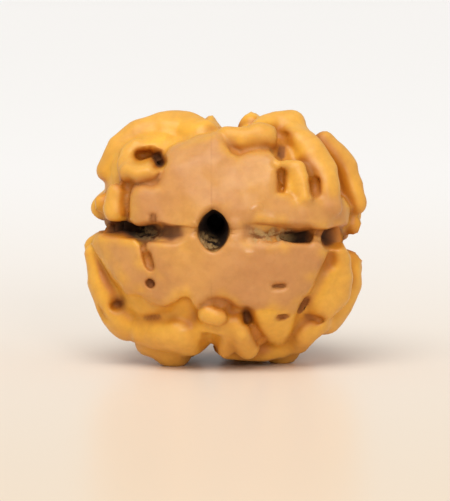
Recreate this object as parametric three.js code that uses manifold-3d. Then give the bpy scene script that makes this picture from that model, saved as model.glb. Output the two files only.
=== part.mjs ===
import * as THREE from 'three';
import { mergeVertices } from 'three/addons/utils/BufferGeometryUtils.js';
import Module from 'manifold-3d';

const wasm = await Module();
wasm.setup();

// Rudraksha bead: the dried, ridged stone of a fruit, with four lobes and a hole for a cord.
// Millimetres, +Z up.
// The hole runs from the front (-Y) to the back (+Y). The bead is one solid body, as it grew.
// Its form is a field: negative inside the bead, positive outside, about the distance to the surface.
// The field is laid out in the bead's own frame: x right, y back, z up, the centre of the bead at zero.

// Driving dimensions
const HALF_WIDTH = 10.1;
const HALF_DEPTH = 8.9;
const HALF_HEIGHT = 9.2;
const BODY_RADIUS = 9;
const BODY_POWER = 2.4;
const CORE_SINK = 1.8;
const LOBE_SINK = 0.85;
const LEAN = THREE.MathUtils.degToRad(6);
const HOLE_X = -0.85;
const HOLE_Z = 0.48;
const HOLE_HALF_WIDTH = 1.24;
const HOLE_HALF_HEIGHT = 1.6;
const HOLE_RISE = 0.15;
const HOLE_DRIFT = 0.05;
const HOLE_POWER = 1.6;
const HOLE_SIDES = 20;
const FLOOR = -9.25;
const RIDGE_BLEND = 0.45;
const PLATE_BLEND = 0.3;
const PLATE_THICKNESS = 2.4;
const BACK_PLATE_X = -0.4;
const BACK_PLATE_Z = 1;
const BACK_PLATE_RADIUS = 4.6;
const NET_DETAIL = 22;
const NET_START = 14;
const NET_STEPS = 50;
const SETTLE_ROUNDS = 24;
const GROUND_SNAP = 0.06;
const KNOB_SEED = 1566311569;
const KNOB_ROWS = 4;
const KNOBS_ACROSS = 5;
const LOBE_BLEND = 0.9;
const CORE_BLEND = 0.5;
const CLEFT_BLEND = 0.35;
const PIT_BLEND = 0.25;
const UNDERSIDE_BLEND = 0.5;

// The hole's size at each depth y, as a share of its size at the front face
const HOLE_PROFILE = [
  [0, -13], [1.05, -13], [1.05, -8.6], [0.8, -7], [0.5, -5], [0.5, 5], [0.85, 8], [0.9, 13], [0, 13],
];

// Worn outer skin round the front end of the hole, above the side clefts. Corners (x, z) of its outline.
const UPPER_PLATE = [
  [-6.5, 0.86], [-6.95, 1.3], [-6.95, 3.0], [-6.7, 3.75], [-6.2, 3.9], [-5.5, 3.68], [-5.0, 3.85],
  [-4.66, 4.5], [-4.47, 5.4], [-4.4, 6.1], [-4.1, 6.65], [-3.4, 7.1], [-2.4, 7.35], [-1.2, 7.55],
  [-0.35, 7.75], [0.1, 6.9], [0.5, 6.2], [1.0, 6.05], [1.6, 6.3], [2.4, 6.5], [3.2, 6.42],
  [3.75, 6.0], [3.65, 5.35], [3.85, 4.6], [3.86, 3.8], [3.85, 3.25], [4.6, 3.12], [5.2, 3.0],
  [5.9, 2.75], [7.2, 3.2], [8.8, 3.0], [9.3, 2.2], [9.1, 1.3], [8.2, 0.98], [7.4, 0.66],
  [6.4, 0.72], [5.4, 0.62], [4.3, 0.78], [3.4, 1.0], [2.4, 1.05], [1.3, 0.95], [0.9, -0.5],
  [-2.2, -0.8], [-2.8, 0.3], [-3.2, 0.6], [-4.4, 0.75], [-5.2, 0.95],
];

// The same skin below the side clefts.
const LOWER_PLATE = [
  [-5.7, -0.72], [-5.78, -1.05], [-5.45, -1.6], [-5.33, -2.3], [-5.25, -3.0], [-5.5, -3.9], [-6.3, -4.1],
  [-5.95, -4.55], [-5.5, -4.9], [-4.9, -5.1], [-4.2, -5.05], [-3.6, -4.75], [-3.2, -4.45], [-2.85, -4.35],
  [-2.55, -4.5], [-2.35, -4.95], [-2.05, -5.2], [-1.7, -4.98], [-1.2, -4.6], [-0.6, -4.48], [0.0, -4.6],
  [0.7, -5.0], [1.6, -5.2], [2.6, -5.22], [3.5, -5.2], [4.6, -5.5], [5.2, -5.6], [5.4, -5.0], [5.95, -4.3],
  [6.45, -3.7], [6.75, -3.0], [7.0, -2.3], [7.4, -1.6], [7.7, -0.9], [7.5, -0.1], [6.6, 0.05], [5.6, -0.35],
  [4.6, -0.6], [3.4, -0.5], [2.2, -0.3], [1.5, -0.2], [1.1, 1.4], [-2.3, 1.6], [-2.9, 0.0], [-3.6, -0.45],
  [-4.8, -0.6],
];

// The floor of the side clefts beside the hole.
const CLEFT_BED = [[-5.0, -0.9], [-5.0, 1.2], [4.5, 1.2], [4.5, -0.9]];

// The smooth facet at the lower left, and the ledge below it.
const LEFT_FACET = [
  [-9.9, -0.35], [-9.3, 0.3], [-8.6, 0.35], [-7.4, 0.08], [-6.6, -0.1], [-6.15, -0.6], [-6.02, -1.4],
  [-5.9, -2.3], [-5.8, -3.0], [-5.9, -3.6], [-5.6, -4.1], [-6.4, -4.3], [-7.3, -4.3], [-7.75, -3.7],
  [-8.3, -3.1], [-8.8, -2.4], [-9.1, -1.8], [-9.5, -1.1],
];
const LEDGE = [
  [-7.5, -4.1], [-7.0, -4.8], [-6.65, -5.4], [-6.3, -5.78], [-5.7, -5.75], [-5.1, -5.5], [-4.2, -5.3],
  [-3.6, -4.6], [-5.5, -3.8],
];

// The tooth that hangs from the skin at the lower right.
const TOOTH = [
  [2.0, -5.0], [2.1, -5.9], [2.55, -7.0], [3.1, -7.9], [3.9, -8.4], [4.5, -8.2], [4.95, -7.3], [5.25, -6.3],
  [5.4, -5.2],
];

// Each plate: its outline, how deep its face lies below the crown, how round its rim is, how much it dips.
const PLATES = [
  { outline: UPPER_PLATE, sink: 0, rim: 0.62, dip: 0 },
  { outline: LOWER_PLATE, sink: 0, rim: 0.62, dip: 0 },
  { outline: CLEFT_BED, sink: 0.1, rim: 0.3, dip: 0.9 },
  { outline: LEFT_FACET, sink: 0.2, rim: 0.6, dip: 0 },
  { outline: LEDGE, sink: 0.65, rim: 0.4, dip: 0 },
  { outline: TOOTH, sink: 0.2, rim: 0.7, dip: 0 },
];

// Ridges and knobs of the front half: how high the crest stands above the body, then points (x, z, radius).
const FRONT_RIDGES = [
  // upper left lobe: outer arch, the swelling above the skin, the curl, three teeth above the cleft
  [
    0.1, [-8.1, 5.6, 0.9], [-7.5, 6.8, 1.1], [-6.2, 7.7, 1.3], [-4.6, 8.0, 1.5], [-2.8, 8.0, 1.5],
    [-1.6, 7.5, 1.3],
  ],
  [0.3, [-5.6, 7.3, 1.1], [-4.4, 7.2, 1.2], [-2.8, 7.3, 1.2], [-1.2, 7.4, 1.1]],
  [
    0.5, [-6.5, 7.0, 0.6], [-7.15, 6.3, 0.62], [-7.35, 5.4, 0.7], [-6.9, 4.8, 0.75], [-6.1, 4.75, 0.8],
    [-5.5, 4.8, 0.95],
  ],
  [0.2, [-8.75, 4.9, 0.72]],
  [0.5, [-8.05, 3.2, 0.85], [-8.0, 2.0, 1.0]],
  [0, [-9.2, 2.4, 0.75]],
  // upper right lobe: mound in the notch, main ridge, outer ridge, knob with its link to the skin
  [0.3, [0.3, 7.3, 0.8], [1.1, 7.2, 0.95], [2.3, 7.4, 1.0]],
  [0.15, [2.6, 7.5, 1.1], [3.3, 8.0, 1.2]],
  [
    0.6, [4.9, 8.1, 1.0], [5.6, 7.3, 1.1], [6.5, 6.2, 1.25], [7.2, 5.0, 1.3], [7.6, 3.8, 1.25],
    [7.7, 2.6, 1.1],
  ],
  [0.15, [6.5, 7.6, 0.9], [7.9, 6.2, 1.1], [8.7, 4.7, 1.15], [9.0, 3.2, 1.1], [9.0, 1.9, 0.9]],
  [0.2, [9.7, 2.45, 0.62]],
  [0.1, [9.4, 0.9, 0.7]],
  [0.85, [3.9, 5.35, 0.3], [4.7, 5.45, 0.36], [5.2, 5.1, 0.62]],
  [0.8, [5.2, 5.0, 0.65], [5.5, 4.0, 0.72], [5.9, 2.9, 0.7]],
  // lower right lobe
  [0.25, [8.4, -0.9, 0.85], [8.0, -2.2, 1.2], [7.6, -3.6, 1.4], [7.0, -5.0, 1.2]],
  [0.2, [9.3, -1.5, 0.8], [9.0, -3.0, 1.0], [8.5, -4.6, 1.1], [7.6, -5.9, 1.1]],
  [0.35, [6.8, -6.2, 1.1], [5.9, -6.9, 1.1], [5.3, -7.8, 1.0]],
  [0.2, [4.2, -8.3, 0.8], [2.9, -8.3, 0.8]],
  [0.4, [1.3, -6.9, 0.9], [1.8, -8.0, 1.0]],
  [0.45, [-0.5, -6.8, 0.9], [-0.2, -8.0, 0.9]],
  [0.6, [-1.0, -5.7, 0.5], [-0.9, -5.3, 0.75]],
  // lower left lobe
  [0.5, [-6.6, -6.3, 1.5], [-4.8, -6.6, 2.1], [-3.0, -6.7, 1.8]],
  [0.35, [-2.6, -7.3, 1.2], [-4.0, -7.8, 1.3], [-5.4, -7.6, 1.3]],
  [0.2, [-9.5, -1.2, 0.9], [-9.0, -3.2, 1.2], [-8.3, -5.0, 1.3], [-7.4, -6.3, 1.3]],
];

// Pits and slits of the front: depth, radius, and the two ends (x, z).
const PITS = [
  [1.5, 0.32, [-5.6, -3.35], [-5.35, -3.5]],
  [1.2, 0.3, [3.5, -3.58], [4.35, -3.5]],
  [1.3, 0.3, [3.8, -5.75], [4.5, -5.75]],
  [1.4, 0.32, [6.75, 3.9], [6.65, 3.35]],
  [1.9, 0.3, [4.15, 7.6], [4.08, 5.8]],
  [2.3, 0.42, [-5.3, 6.2], [-4.85, 5.6]],
  [1.7, 0.6, [-6.1, 6.15], [-5.6, 6.2]],
  [1.5, 0.4, [-7.8, -4.9], [-7.6, -4.8]],
  [1.5, 0.3, [6.0, -4.35], [5.55, -5.4]],
  [2.0, 0.38, [1.6, -5.6], [2.0, -6.4]],
  [1.6, 0.3, [-5.7, -5.95], [-4.9, -5.75]],
  [2.1, 0.3, [4.15, 4.7], [4.1, 3.5]],
  [1.0, 0.3, [7.9, -1.0], [8.3, -1.0]],
  [1.0, 0.3, [6.1, -5.8], [7.1, -6.0]],
  [0.7, 0.3, [-0.75, -4.85], [-0.1, -4.85]],
  [1.4, 0.3, [-6.9, 4.0], [-7.3, 3.6]],
];

// The three low knobs that the bead stands on: (x, y) on the ground. They lie round its weight.
const FEET = [[-3.85, -2.9], [4.2, -1.2], [1.8, 4.3]];
const FOOT_RADIUS = 1.5;
const FOOT_PRESS = 0.25;
const FOOT_BLEND = 0.6;

// The four clefts: angle round the hole at the front, waist and back; where they begin; how wide they open.
const CLEFTS = [
  { front: 0, waist: -4, back: 5, begin: 1.0, spread: 2.0 },
  { front: 86, waist: 84, back: 95, begin: 7.9, spread: 0.55 },
  { front: 178.5, waist: 177, back: 186, begin: 1.8, spread: 3.0 },
  { front: 265, waist: 264, back: 272, begin: 6.6, spread: 1.2 },
];
const PIVOT_X = -0.4;
const PIVOT_Z = 0.3;

const clamp = THREE.MathUtils.clamp;

function softStep(value, from, to) {
  const t = clamp((value - from) / (to - from), 0, 1);
  return t * t * (3 - 2 * t);
}

function smoothMin(a, b, blend) {
  const h = Math.max(blend - Math.abs(a - b), 0) / blend;
  return Math.min(a, b) - h * h * blend * 0.25;
}

function smoothMax(a, b, blend) {
  return -smoothMin(-a, -b, blend);
}

// How many times too large the boxy egg with these half sizes is for the point to lie on it
function eggRatio(x, y, z, a, b, c, power) {
  const sum = Math.abs(x / a) ** power + Math.abs(y / b) ** power + Math.abs(z / c) ** power;
  return sum ** (1 / power);
}

// Distance outside the boxy egg that lies this deep below the crown
function bodyDistance(x, y, z, sink) {
  const ratio = eggRatio(x, y, z, HALF_WIDTH - sink, HALF_DEPTH - sink, HALF_HEIGHT - sink, BODY_POWER);
  return Math.hypot(x, y, z) * (1 - 1 / Math.max(ratio, 1e-6));
}

// Distance outside the slightly larger and rounder shape that the worn skin follows, with gentle waves
function crownDistance(x, y, z) {
  const ratio = eggRatio(x, y, z, HALF_WIDTH + 0.5, HALF_DEPTH + 0.15, HALF_HEIGHT + 0.45, 2.3);
  const waves = Math.sin(1.5 * x + 0.8 * z) + Math.sin(1.3 * z - 0.9 * x + 2);
  return Math.hypot(x, y, z) * (1 - 1 / Math.max(ratio, 1e-6)) + 0.07 * waves;
}

// The front face's y at (x, z), this deep below the crown
function frontY(x, z, sink) {
  const sideways = Math.abs(x / (HALF_WIDTH - sink)) ** BODY_POWER;
  const upwards = Math.abs(z / (HALF_HEIGHT - sink)) ** BODY_POWER;
  return -(HALF_DEPTH - sink) * Math.max(1 - sideways - upwards, 0) ** (1 / BODY_POWER);
}

// A place this deep below the crown, at an angle round the hole's direction and a depth y
function placeOnBody(angle, y, sink) {
  const cos = Math.cos(angle);
  const sin = Math.sin(angle);
  const left = Math.max(1 - Math.abs(y / (HALF_DEPTH - sink)) ** BODY_POWER, 0.02);
  const sideways = Math.abs(cos / (HALF_WIDTH - sink)) ** BODY_POWER;
  const upwards = Math.abs(sin / (HALF_HEIGHT - sink)) ** BODY_POWER;
  const reach = (left / (sideways + upwards)) ** (1 / BODY_POWER);
  return [reach * cos, y, reach * sin];
}

// Repeatable random numbers from 0 to 1
function makeRandom(seed) {
  let state = seed;
  return () => {
    state = (state * 16807) % 2147483647;
    return state / 2147483647;
  };
}

// A cleft's angle round the hole's direction at depth y: it wanders from front to back
function cleftAngle(k, y) {
  const cleft = CLEFTS[k];
  const t = clamp(y / HALF_DEPTH, -1, 1);
  const end = t < 0 ? cleft.front : cleft.back;
  const wander = 3 * Math.sin(1.1 * y + 2 * k) * clamp(1 + t, 0, 1);
  return THREE.MathUtils.degToRad(cleft.waist + (end - cleft.waist) * t * t + wander);
}

// Knobs, and the low ridges that join some of them, on the sides and back of the four lobes
function makeRearRidges() {
  const random = makeRandom(KNOB_SEED);
  const count = KNOB_ROWS * KNOBS_ACROSS;
  const ridges = [];
  for (let k = 0; k < 4; k += 1) {
    const knobs = [];
    for (let i = 0; i < count; i += 1) {
      const row = Math.floor(i / KNOBS_ACROSS);
      const column = i % KNOBS_ACROSS;
      const shiftAngle = random() - 0.5;
      const shiftY = random() - 0.5;
      const radius = 0.8 + 0.45 * random();
      const lift = -0.1 + 0.4 * random();
      const y = 0.5 + 2 * (row + 0.5 * shiftY + (column % 2 ? 0.3 : 0));
      const start = cleftAngle(k, y);
      const end = cleftAngle((k + 1) % 4, y) + (k === 3 ? 2 * Math.PI : 0);
      const share = 0.5 + ((column + 0.5 + 0.5 * shiftAngle) / KNOBS_ACROSS - 0.5) * 0.9;
      knobs.push({ angle: start + (end - start) * share, y, radius, lift });
    }
    for (let i = 0; i < count; i += 1) {
      const knob = knobs[i];
      const choice = random();
      const chain = [[...placeOnBody(knob.angle, knob.y, knob.radius - knob.lift), knob.radius]];
      const joinsAcross = choice < 0.3 && i % KNOBS_ACROSS < KNOBS_ACROSS - 1;
      const joinsBack = choice >= 0.3 && choice < 0.75 && i + KNOBS_ACROSS < count;
      if (joinsAcross || joinsBack) {
        const other = knobs[joinsAcross ? i + 1 : i + KNOBS_ACROSS];
        const radius = 0.85 * knob.radius;
        const middleAngle = (knob.angle + other.angle) / 2;
        const middleY = (knob.y + other.y) / 2;
        chain.push([...placeOnBody(middleAngle, middleY, radius - knob.lift + 0.1), radius]);
        chain.push([...placeOnBody(other.angle, other.y, other.radius - other.lift), other.radius]);
      }
      ridges.push(chain);
    }
  }
  return ridges;
}

function makeFrontRidges() {
  return FRONT_RIDGES.map(([lift, ...points]) => (
    points.map(([x, z, radius]) => [x, frontY(x, z, radius - lift), z, radius])
  ));
}

// Every ridge gets a ball round it, so that far points pass it over
function withReach(chain) {
  const centre = [0, 1, 2].map((axis) => chain.reduce((sum, point) => sum + point[axis], 0) / chain.length);
  const [cx, cy, cz] = centre;
  const far = Math.max(...chain.map(([x, y, z]) => Math.hypot(x - cx, y - cy, z - cz)));
  const reach = far + Math.max(...chain.map((point) => point[3])) + 1.2;
  return { chain, centre, reach2: reach * reach };
}

const RIDGES = [...makeFrontRidges(), ...makeRearRidges()].map(withReach);

// Distance to a tapered rod between two points (x, y, z, radius)
function rodDistance(x, y, z, a, b) {
  const ex = b[0] - a[0];
  const ey = b[1] - a[1];
  const ez = b[2] - a[2];
  const px = x - a[0];
  const py = y - a[1];
  const pz = z - a[2];
  const length2 = ex * ex + ey * ey + ez * ez;
  const t = length2 > 0 ? clamp((px * ex + py * ey + pz * ez) / length2, 0, 1) : 0;
  return Math.hypot(px - t * ex, py - t * ey, pz - t * ez) - (a[3] + t * (b[3] - a[3]));
}

// Signed distance to a closed outline in the x, z plane, negative inside
function outlineDistance(x, z, outline) {
  let best = Infinity;
  let inside = false;
  for (let i = 0; i < outline.length; i += 1) {
    const [ax, az] = outline[i];
    const [bx, bz] = outline[(i + 1) % outline.length];
    const ex = bx - ax;
    const ez = bz - az;
    const t = clamp(((x - ax) * ex + (z - az) * ez) / (ex * ex + ez * ez), 0, 1);
    best = Math.min(best, Math.hypot(x - ax - t * ex, z - az - t * ez));
    const crosses = (az > z) !== (bz > z);
    if (crosses && x < ax + ((z - az) / ez) * ex) inside = !inside;
  }
  return inside ? -best : best;
}

// A plate with a rounded rim: its side from the outline, its face from the crown
function plateDistance(side, crown, rim) {
  const a = side + rim;
  const c = crown + rim;
  const solid = Math.min(Math.max(a, c), 0) + Math.hypot(Math.max(a, 0), Math.max(c, 0)) - rim;
  return Math.max(solid, -c - PLATE_THICKNESS);
}

// Core, four lobes, ridges and knobs, all a little uneven
function fleshDistance(x, y, z) {
  const waves = 0.06 + 0.07 * clamp((y + 3) / 4, 0, 1);
  const qx = x + waves * (Math.sin(1.3 * y + 0.7 * z + 1) + Math.sin(1.9 * z - 1.1 * x + 4));
  const qy = y + waves * (Math.sin(1.2 * z + 0.9 * x + 2) + Math.sin(1.7 * x + 1.2 * y + 5));
  const qz = z + waves * (Math.sin(1.4 * x - 0.6 * y + 3) + Math.sin(1.8 * y + z + 6));
  const px = x - PIVOT_X;
  const pz = z - PIVOT_Z;
  let cleft = 9;
  for (let k = 0; k < 4; k += 1) {
    const { along, aside } = cleftPlace(k, px, qy, pz);
    if (along > 0) cleft = Math.min(cleft, aside);
  }
  const steepness = softStep(Math.abs(pz) / (Math.abs(px) + 0.01), 0.5, 1.2);
  const valley = 0.3 + 0.6 * Math.max(steepness, softStep(qy, -2, 3));
  const lobes = smoothMax(bodyDistance(qx, qy, qz, LOBE_SINK), valley - cleft, LOBE_BLEND);
  let f = smoothMin(bodyDistance(qx, qy, qz, CORE_SINK), lobes, CORE_BLEND);
  for (const { chain, centre, reach2 } of RIDGES) {
    const away2 = (qx - centre[0]) ** 2 + (qy - centre[1]) ** 2 + (qz - centre[2]) ** 2;
    if (away2 > reach2) continue;
    let d = rodDistance(qx, qy, qz, chain[0], chain[Math.min(1, chain.length - 1)]);
    for (let i = 1; i < chain.length - 1; i += 1) {
      d = Math.min(d, rodDistance(qx, qy, qz, chain[i], chain[i + 1]));
    }
    f = smoothMin(f, d, RIDGE_BLEND);
  }
  return f;
}

// How far out along a cleft a point lies, and how far to its side
function cleftPlace(k, px, y, pz) {
  const angle = cleftAngle(k, y);
  const cos = Math.cos(angle);
  const sin = Math.sin(angle);
  const along = px * cos + pz * sin;
  const wobble = 0.1 * Math.sin(1.6 * y + k) + 0.07 * Math.sin(2.6 * along + k);
  return { along, aside: Math.abs(pz * cos - px * sin + wobble) };
}

// How deep a cleft's soft furrow and the crack at its bottom are
function cleftDepths(k, along, y) {
  const front = softStep(-y, 1, 5);
  if (k === 0) {
    const bridge = softStep(along, 6.5, 6.9) * (1 - softStep(along, 7.3, 7.7));
    const furrow = (1 - front) * 0.9 + front * 1.2 * softStep(along, 1, 5.2);
    const crack = (1 - front) * 1.5 + front * 3 * softStep(along, 3.8, 5) * (1 - 0.7 * bridge);
    return [furrow, crack];
  }
  if (k === 1) return [1.1, 1.5 * (1 - front)];
  if (k === 2) {
    const furrow = (1 - front) * 0.9 + front * 1.1 * softStep(along, 2.2, 5);
    const fading = 1 - 0.6 * softStep(along, 8.2, 9.5);
    const crack = (1 - front) * 1.5 + front * 3.2 * softStep(along, 3.6, 5) * fading;
    return [furrow, crack];
  }
  return [0.95, 1.6];
}

function cutClefts(f, x, y, z) {
  const ratio = eggRatio(x, y, z, HALF_WIDTH, HALF_DEPTH, HALF_HEIGHT, BODY_POWER);
  let result = f;
  for (let k = 0; k < 4; k += 1) {
    const { along, aside } = cleftPlace(k, x - PIVOT_X, y, z - PIVOT_Z);
    const [furrow, crack] = cleftDepths(k, along, y);
    const { begin, spread } = CLEFTS[k];
    const start = begin + (3.4 - begin) * softStep(y, -1, 1);
    const wall = Math.max(aside - 0.2, 0);
    const depth = Math.max(furrow - spread * aside * aside, crack - 10 * wall * wall);
    result = smoothMax(result, -Math.max((1 - ratio) * BODY_RADIUS - depth, start - along), CLEFT_BLEND);
  }
  return result;
}

function cutPits(f, x, y, z, share) {
  let result = f;
  if (share <= 0) return result;
  for (const [depth, radius, a, b] of PITS) {
    const bottom = Math.min(frontY(a[0], a[1], depth * share), frontY(b[0], b[1], depth * share));
    const away = Math.max(Math.abs(x - (a[0] + b[0]) / 2), Math.abs(z - (a[1] + b[1]) / 2));
    if (y > bottom + 1.5 || away > 2.2) continue;
    const inward = Math.max(y - bottom, 0);
    const d = rodDistance(x, inward, z, [a[0], 0, a[1], radius], [b[0], 0, b[1], radius]);
    result = smoothMax(result, -d, PIT_BLEND);
  }
  return result;
}

// The skin round the back end of the hole, with a wavy rim
function addBackPlate(f, x, y, z) {
  if (y < 2) return f;
  const [dx, dz] = [x - BACK_PLATE_X, z - BACK_PLATE_Z];
  const angle = Math.atan2(dz, dx);
  const slow = 0.6 * Math.sin(3 * angle + 1) + 0.55 * Math.sin(5 * angle + 2.5);
  const rim = BACK_PLATE_RADIUS + slow + 0.35 * Math.sin(11 * angle + 0.5);
  const side = (Math.hypot(dx, dz) - rim) * 0.8;
  return smoothMin(f, plateDistance(side, crownDistance(x, y, z), 0.35), PLATE_BLEND);
}

function addPlates(f, x, y, z) {
  if (y > 0) return f;
  const crown = crownDistance(x, y, z);
  let result = f;
  for (const { outline, sink, rim, dip, low, high } of PLATES) {
    if (x < low[0] || x > high[0] || z < low[1] || z > high[1]) continue;
    const depth = sink + dip * softStep(Math.abs(x + 0.9), 1.4, 4.6);
    const plate = plateDistance(outlineDistance(x, z, outline), crown + depth, rim);
    result = smoothMin(result, plate, PLATE_BLEND);
  }
  return result;
}

for (const plate of PLATES) {
  plate.low = [0, 1].map((axis) => Math.min(...plate.outline.map((corner) => corner[axis])) - 0.8);
  plate.high = [0, 1].map((axis) => Math.max(...plate.outline.map((corner) => corner[axis])) + 0.8);
}

// From the leaning frame of the bead to the upright frame of the ground, and back
function upright(x, y, z) {
  return [x, y * Math.cos(LEAN) + z * Math.sin(LEAN), z * Math.cos(LEAN) - y * Math.sin(LEAN)];
}

// The underside stays a little above the ground, but for the three feet
function shapeUnderside(f, x, y, z) {
  const [wx, wy, wz] = upright(x, y, z);
  if (wz > FLOOR + 3) return f;
  let result = smoothMax(f, FLOOR + 0.3 - wz, UNDERSIDE_BLEND);
  for (const [footX, footY] of FEET) {
    const away = Math.hypot(wx - footX, wy - footY, wz - FLOOR - FOOT_RADIUS + FOOT_PRESS) - FOOT_RADIUS;
    result = smoothMin(result, away, FOOT_BLEND);
  }
  return result;
}

function field(x, y, z, pitShare) {
  let f = fleshDistance(x, y, z);
  f = addPlates(f, x, y, z);
  f = addBackPlate(f, x, y, z);
  f = cutClefts(f, x, y, z);
  f = cutPits(f, x, y, z, pitShare);
  return shapeUnderside(f, x, y, z);
}

// An even net of points round the bead: each starts outside and walks inwards until it meets the surface
function wrapNet() {
  const sphere = new THREE.IcosahedronGeometry(1, NET_DETAIL);
  sphere.deleteAttribute('normal');
  sphere.deleteAttribute('uv');
  const net = mergeVertices(sphere, 1e-5);
  const ways = net.attributes.position.array;
  const points = Float64Array.from(ways);
  for (let at = 0; at < points.length; at += 3) {
    let t = NET_START;
    for (let step = 0; step < NET_STEPS; step += 1) {
      const f = field(ways[at] * t, ways[at + 1] * t, ways[at + 2] * t, 0);
      t -= clamp(f, -0.3, 3) * 0.6;
    }
    for (let axis = 0; axis < 3; axis += 1) points[at + axis] = ways[at + axis] * t;
  }
  return { points, index: Array.from(net.index.array) };
}

function findNeighbours(index, count) {
  const sets = Array.from({ length: count }, () => new Set());
  for (let i = 0; i < index.length; i += 3) {
    for (let k = 0; k < 3; k += 1) {
      const a = index[i + k];
      const b = index[i + ((k + 1) % 3)];
      sets[a].add(b);
      sets[b].add(a);
    }
  }
  return sets.map((set) => [...set]);
}

const TETRA = [[1, 1, 1], [1, -1, -1], [-1, 1, -1], [-1, -1, 1]];
const PROBE = 0.03;

// The net is evened out along the surface and drawn back onto it, while the pits sink in
function settle(points, neighbours, rounds) {
  let current = points;
  const normals = new Float64Array(points.length);
  for (let round = 0; round < rounds; round += 1) {
    const share = clamp((round - 4) / (rounds - 8), 0, 1);
    const next = Float64Array.from(current);
    for (let i = 0; i < neighbours.length; i += 1) {
      const at = i * 3;
      if (round > 0) {
        const move = [0, 1, 2].map((axis) => {
          const sum = neighbours[i].reduce((total, other) => total + current[other * 3 + axis], 0);
          return sum / neighbours[i].length - current[at + axis];
        });
        const out = move[0] * normals[at] + move[1] * normals[at + 1] + move[2] * normals[at + 2];
        for (let axis = 0; axis < 3; axis += 1) {
          next[at + axis] += 0.5 * (move[axis] - out * normals[at + axis]);
        }
      }
      drawOnto(next, at, normals, share);
    }
    current = next;
  }
  return current;
}

// One step of a net point towards the surface, against the field's slope
function drawOnto(points, at, normals, share) {
  let value = 0;
  const slope = [0, 0, 0];
  for (const corner of TETRA) {
    const x = points[at] + corner[0] * PROBE;
    const y = points[at + 1] + corner[1] * PROBE;
    const z = points[at + 2] + corner[2] * PROBE;
    const f = field(x, y, z, share);
    value += f / 4;
    for (let axis = 0; axis < 3; axis += 1) slope[axis] += (f * corner[axis]) / (4 * PROBE);
  }
  const length = Math.max(Math.hypot(...slope), 0.32);
  const step = clamp(value / length, -0.25, 0.25);
  for (let axis = 0; axis < 3; axis += 1) {
    normals[at + axis] = slope[axis] / length;
    points[at + axis] -= normals[at + axis] * step;
  }
}

// The bead is stood up on the ground, with the middle of its width and depth over zero
function standUp(points) {
  const count = points.length / 3;
  const low = [Infinity, Infinity];
  const high = [-Infinity, -Infinity];
  const stood = new Float32Array(points.length);
  for (let i = 0; i < count; i += 1) {
    const [x, y, z] = upright(points[i * 3], points[i * 3 + 1], points[i * 3 + 2]);
    const height = z - FLOOR;
    stood.set([x, y, height < GROUND_SNAP ? 0 : height], i * 3);
    low[0] = Math.min(low[0], x);
    low[1] = Math.min(low[1], y);
    high[0] = Math.max(high[0], x);
    high[1] = Math.max(high[1], y);
  }
  for (let i = 0; i < count; i += 1) {
    stood[i * 3] -= (low[0] + high[0]) / 2;
    stood[i * 3 + 1] -= (low[1] + high[1]) / 2;
  }
  return stood;
}

// The cord hole as a solid plug: a pointed oval that narrows inside and rises a little towards the back
function makeHolePlug() {
  const profile = HOLE_PROFILE.map(([share, y]) => new THREE.Vector2(share, y));
  const plug = new THREE.LatheGeometry(profile, HOLE_SIDES);
  const place = plug.attributes.position;
  const pointed = (value) => Math.sign(value) * Math.abs(value) ** (2 / HOLE_POWER);
  for (let i = 0; i < place.count; i += 1) {
    const radius = Math.hypot(place.getX(i), place.getZ(i));
    const angle = Math.atan2(place.getZ(i), place.getX(i));
    const y = place.getY(i);
    const x = HOLE_X + (y + HALF_DEPTH) * HOLE_DRIFT + HOLE_HALF_WIDTH * radius * pointed(Math.cos(angle));
    const z = HOLE_Z + (y + HALF_DEPTH) * HOLE_RISE + HOLE_HALF_HEIGHT * radius * pointed(Math.sin(angle));
    place.setXYZ(i, x, y, z);
  }
  return plug;
}

function toSolid(geometry) {
  geometry.deleteAttribute('normal');
  geometry.deleteAttribute('uv');
  const merged = mergeVertices(geometry, 1e-4);
  const mesh = new wasm.Mesh({
    numProp: 3,
    vertProperties: Float32Array.from(merged.attributes.position.array),
    triVerts: Uint32Array.from(merged.index.array),
  });
  mesh.merge();
  return new wasm.Manifold(mesh);
}

function toGeometry(points, index) {
  const geometry = new THREE.BufferGeometry();
  geometry.setAttribute('position', new THREE.BufferAttribute(Float32Array.from(points), 3));
  geometry.setIndex(index);
  return geometry;
}

function makeBead() {
  const net = wrapNet();
  const neighbours = findNeighbours(net.index, net.points.length / 3);
  const settled = settle(net.points, neighbours, SETTLE_ROUNDS);
  const bored = toSolid(toGeometry(settled, net.index)).subtract(toSolid(makeHolePlug())).getMesh();
  const geometry = toGeometry(standUp(bored.vertProperties), Array.from(bored.triVerts));
  geometry.computeVertexNormals();
  const material = new THREE.MeshStandardMaterial({ color: 0xd9943f, roughness: 0.5, metalness: 0 });
  const bead = new THREE.Mesh(geometry, material);
  bead.name = 'bead';
  return bead;
}

const group = new THREE.Group();
group.name = 'rudraksha_bead';
group.add(makeBead());

export default group;
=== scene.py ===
import math

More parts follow.
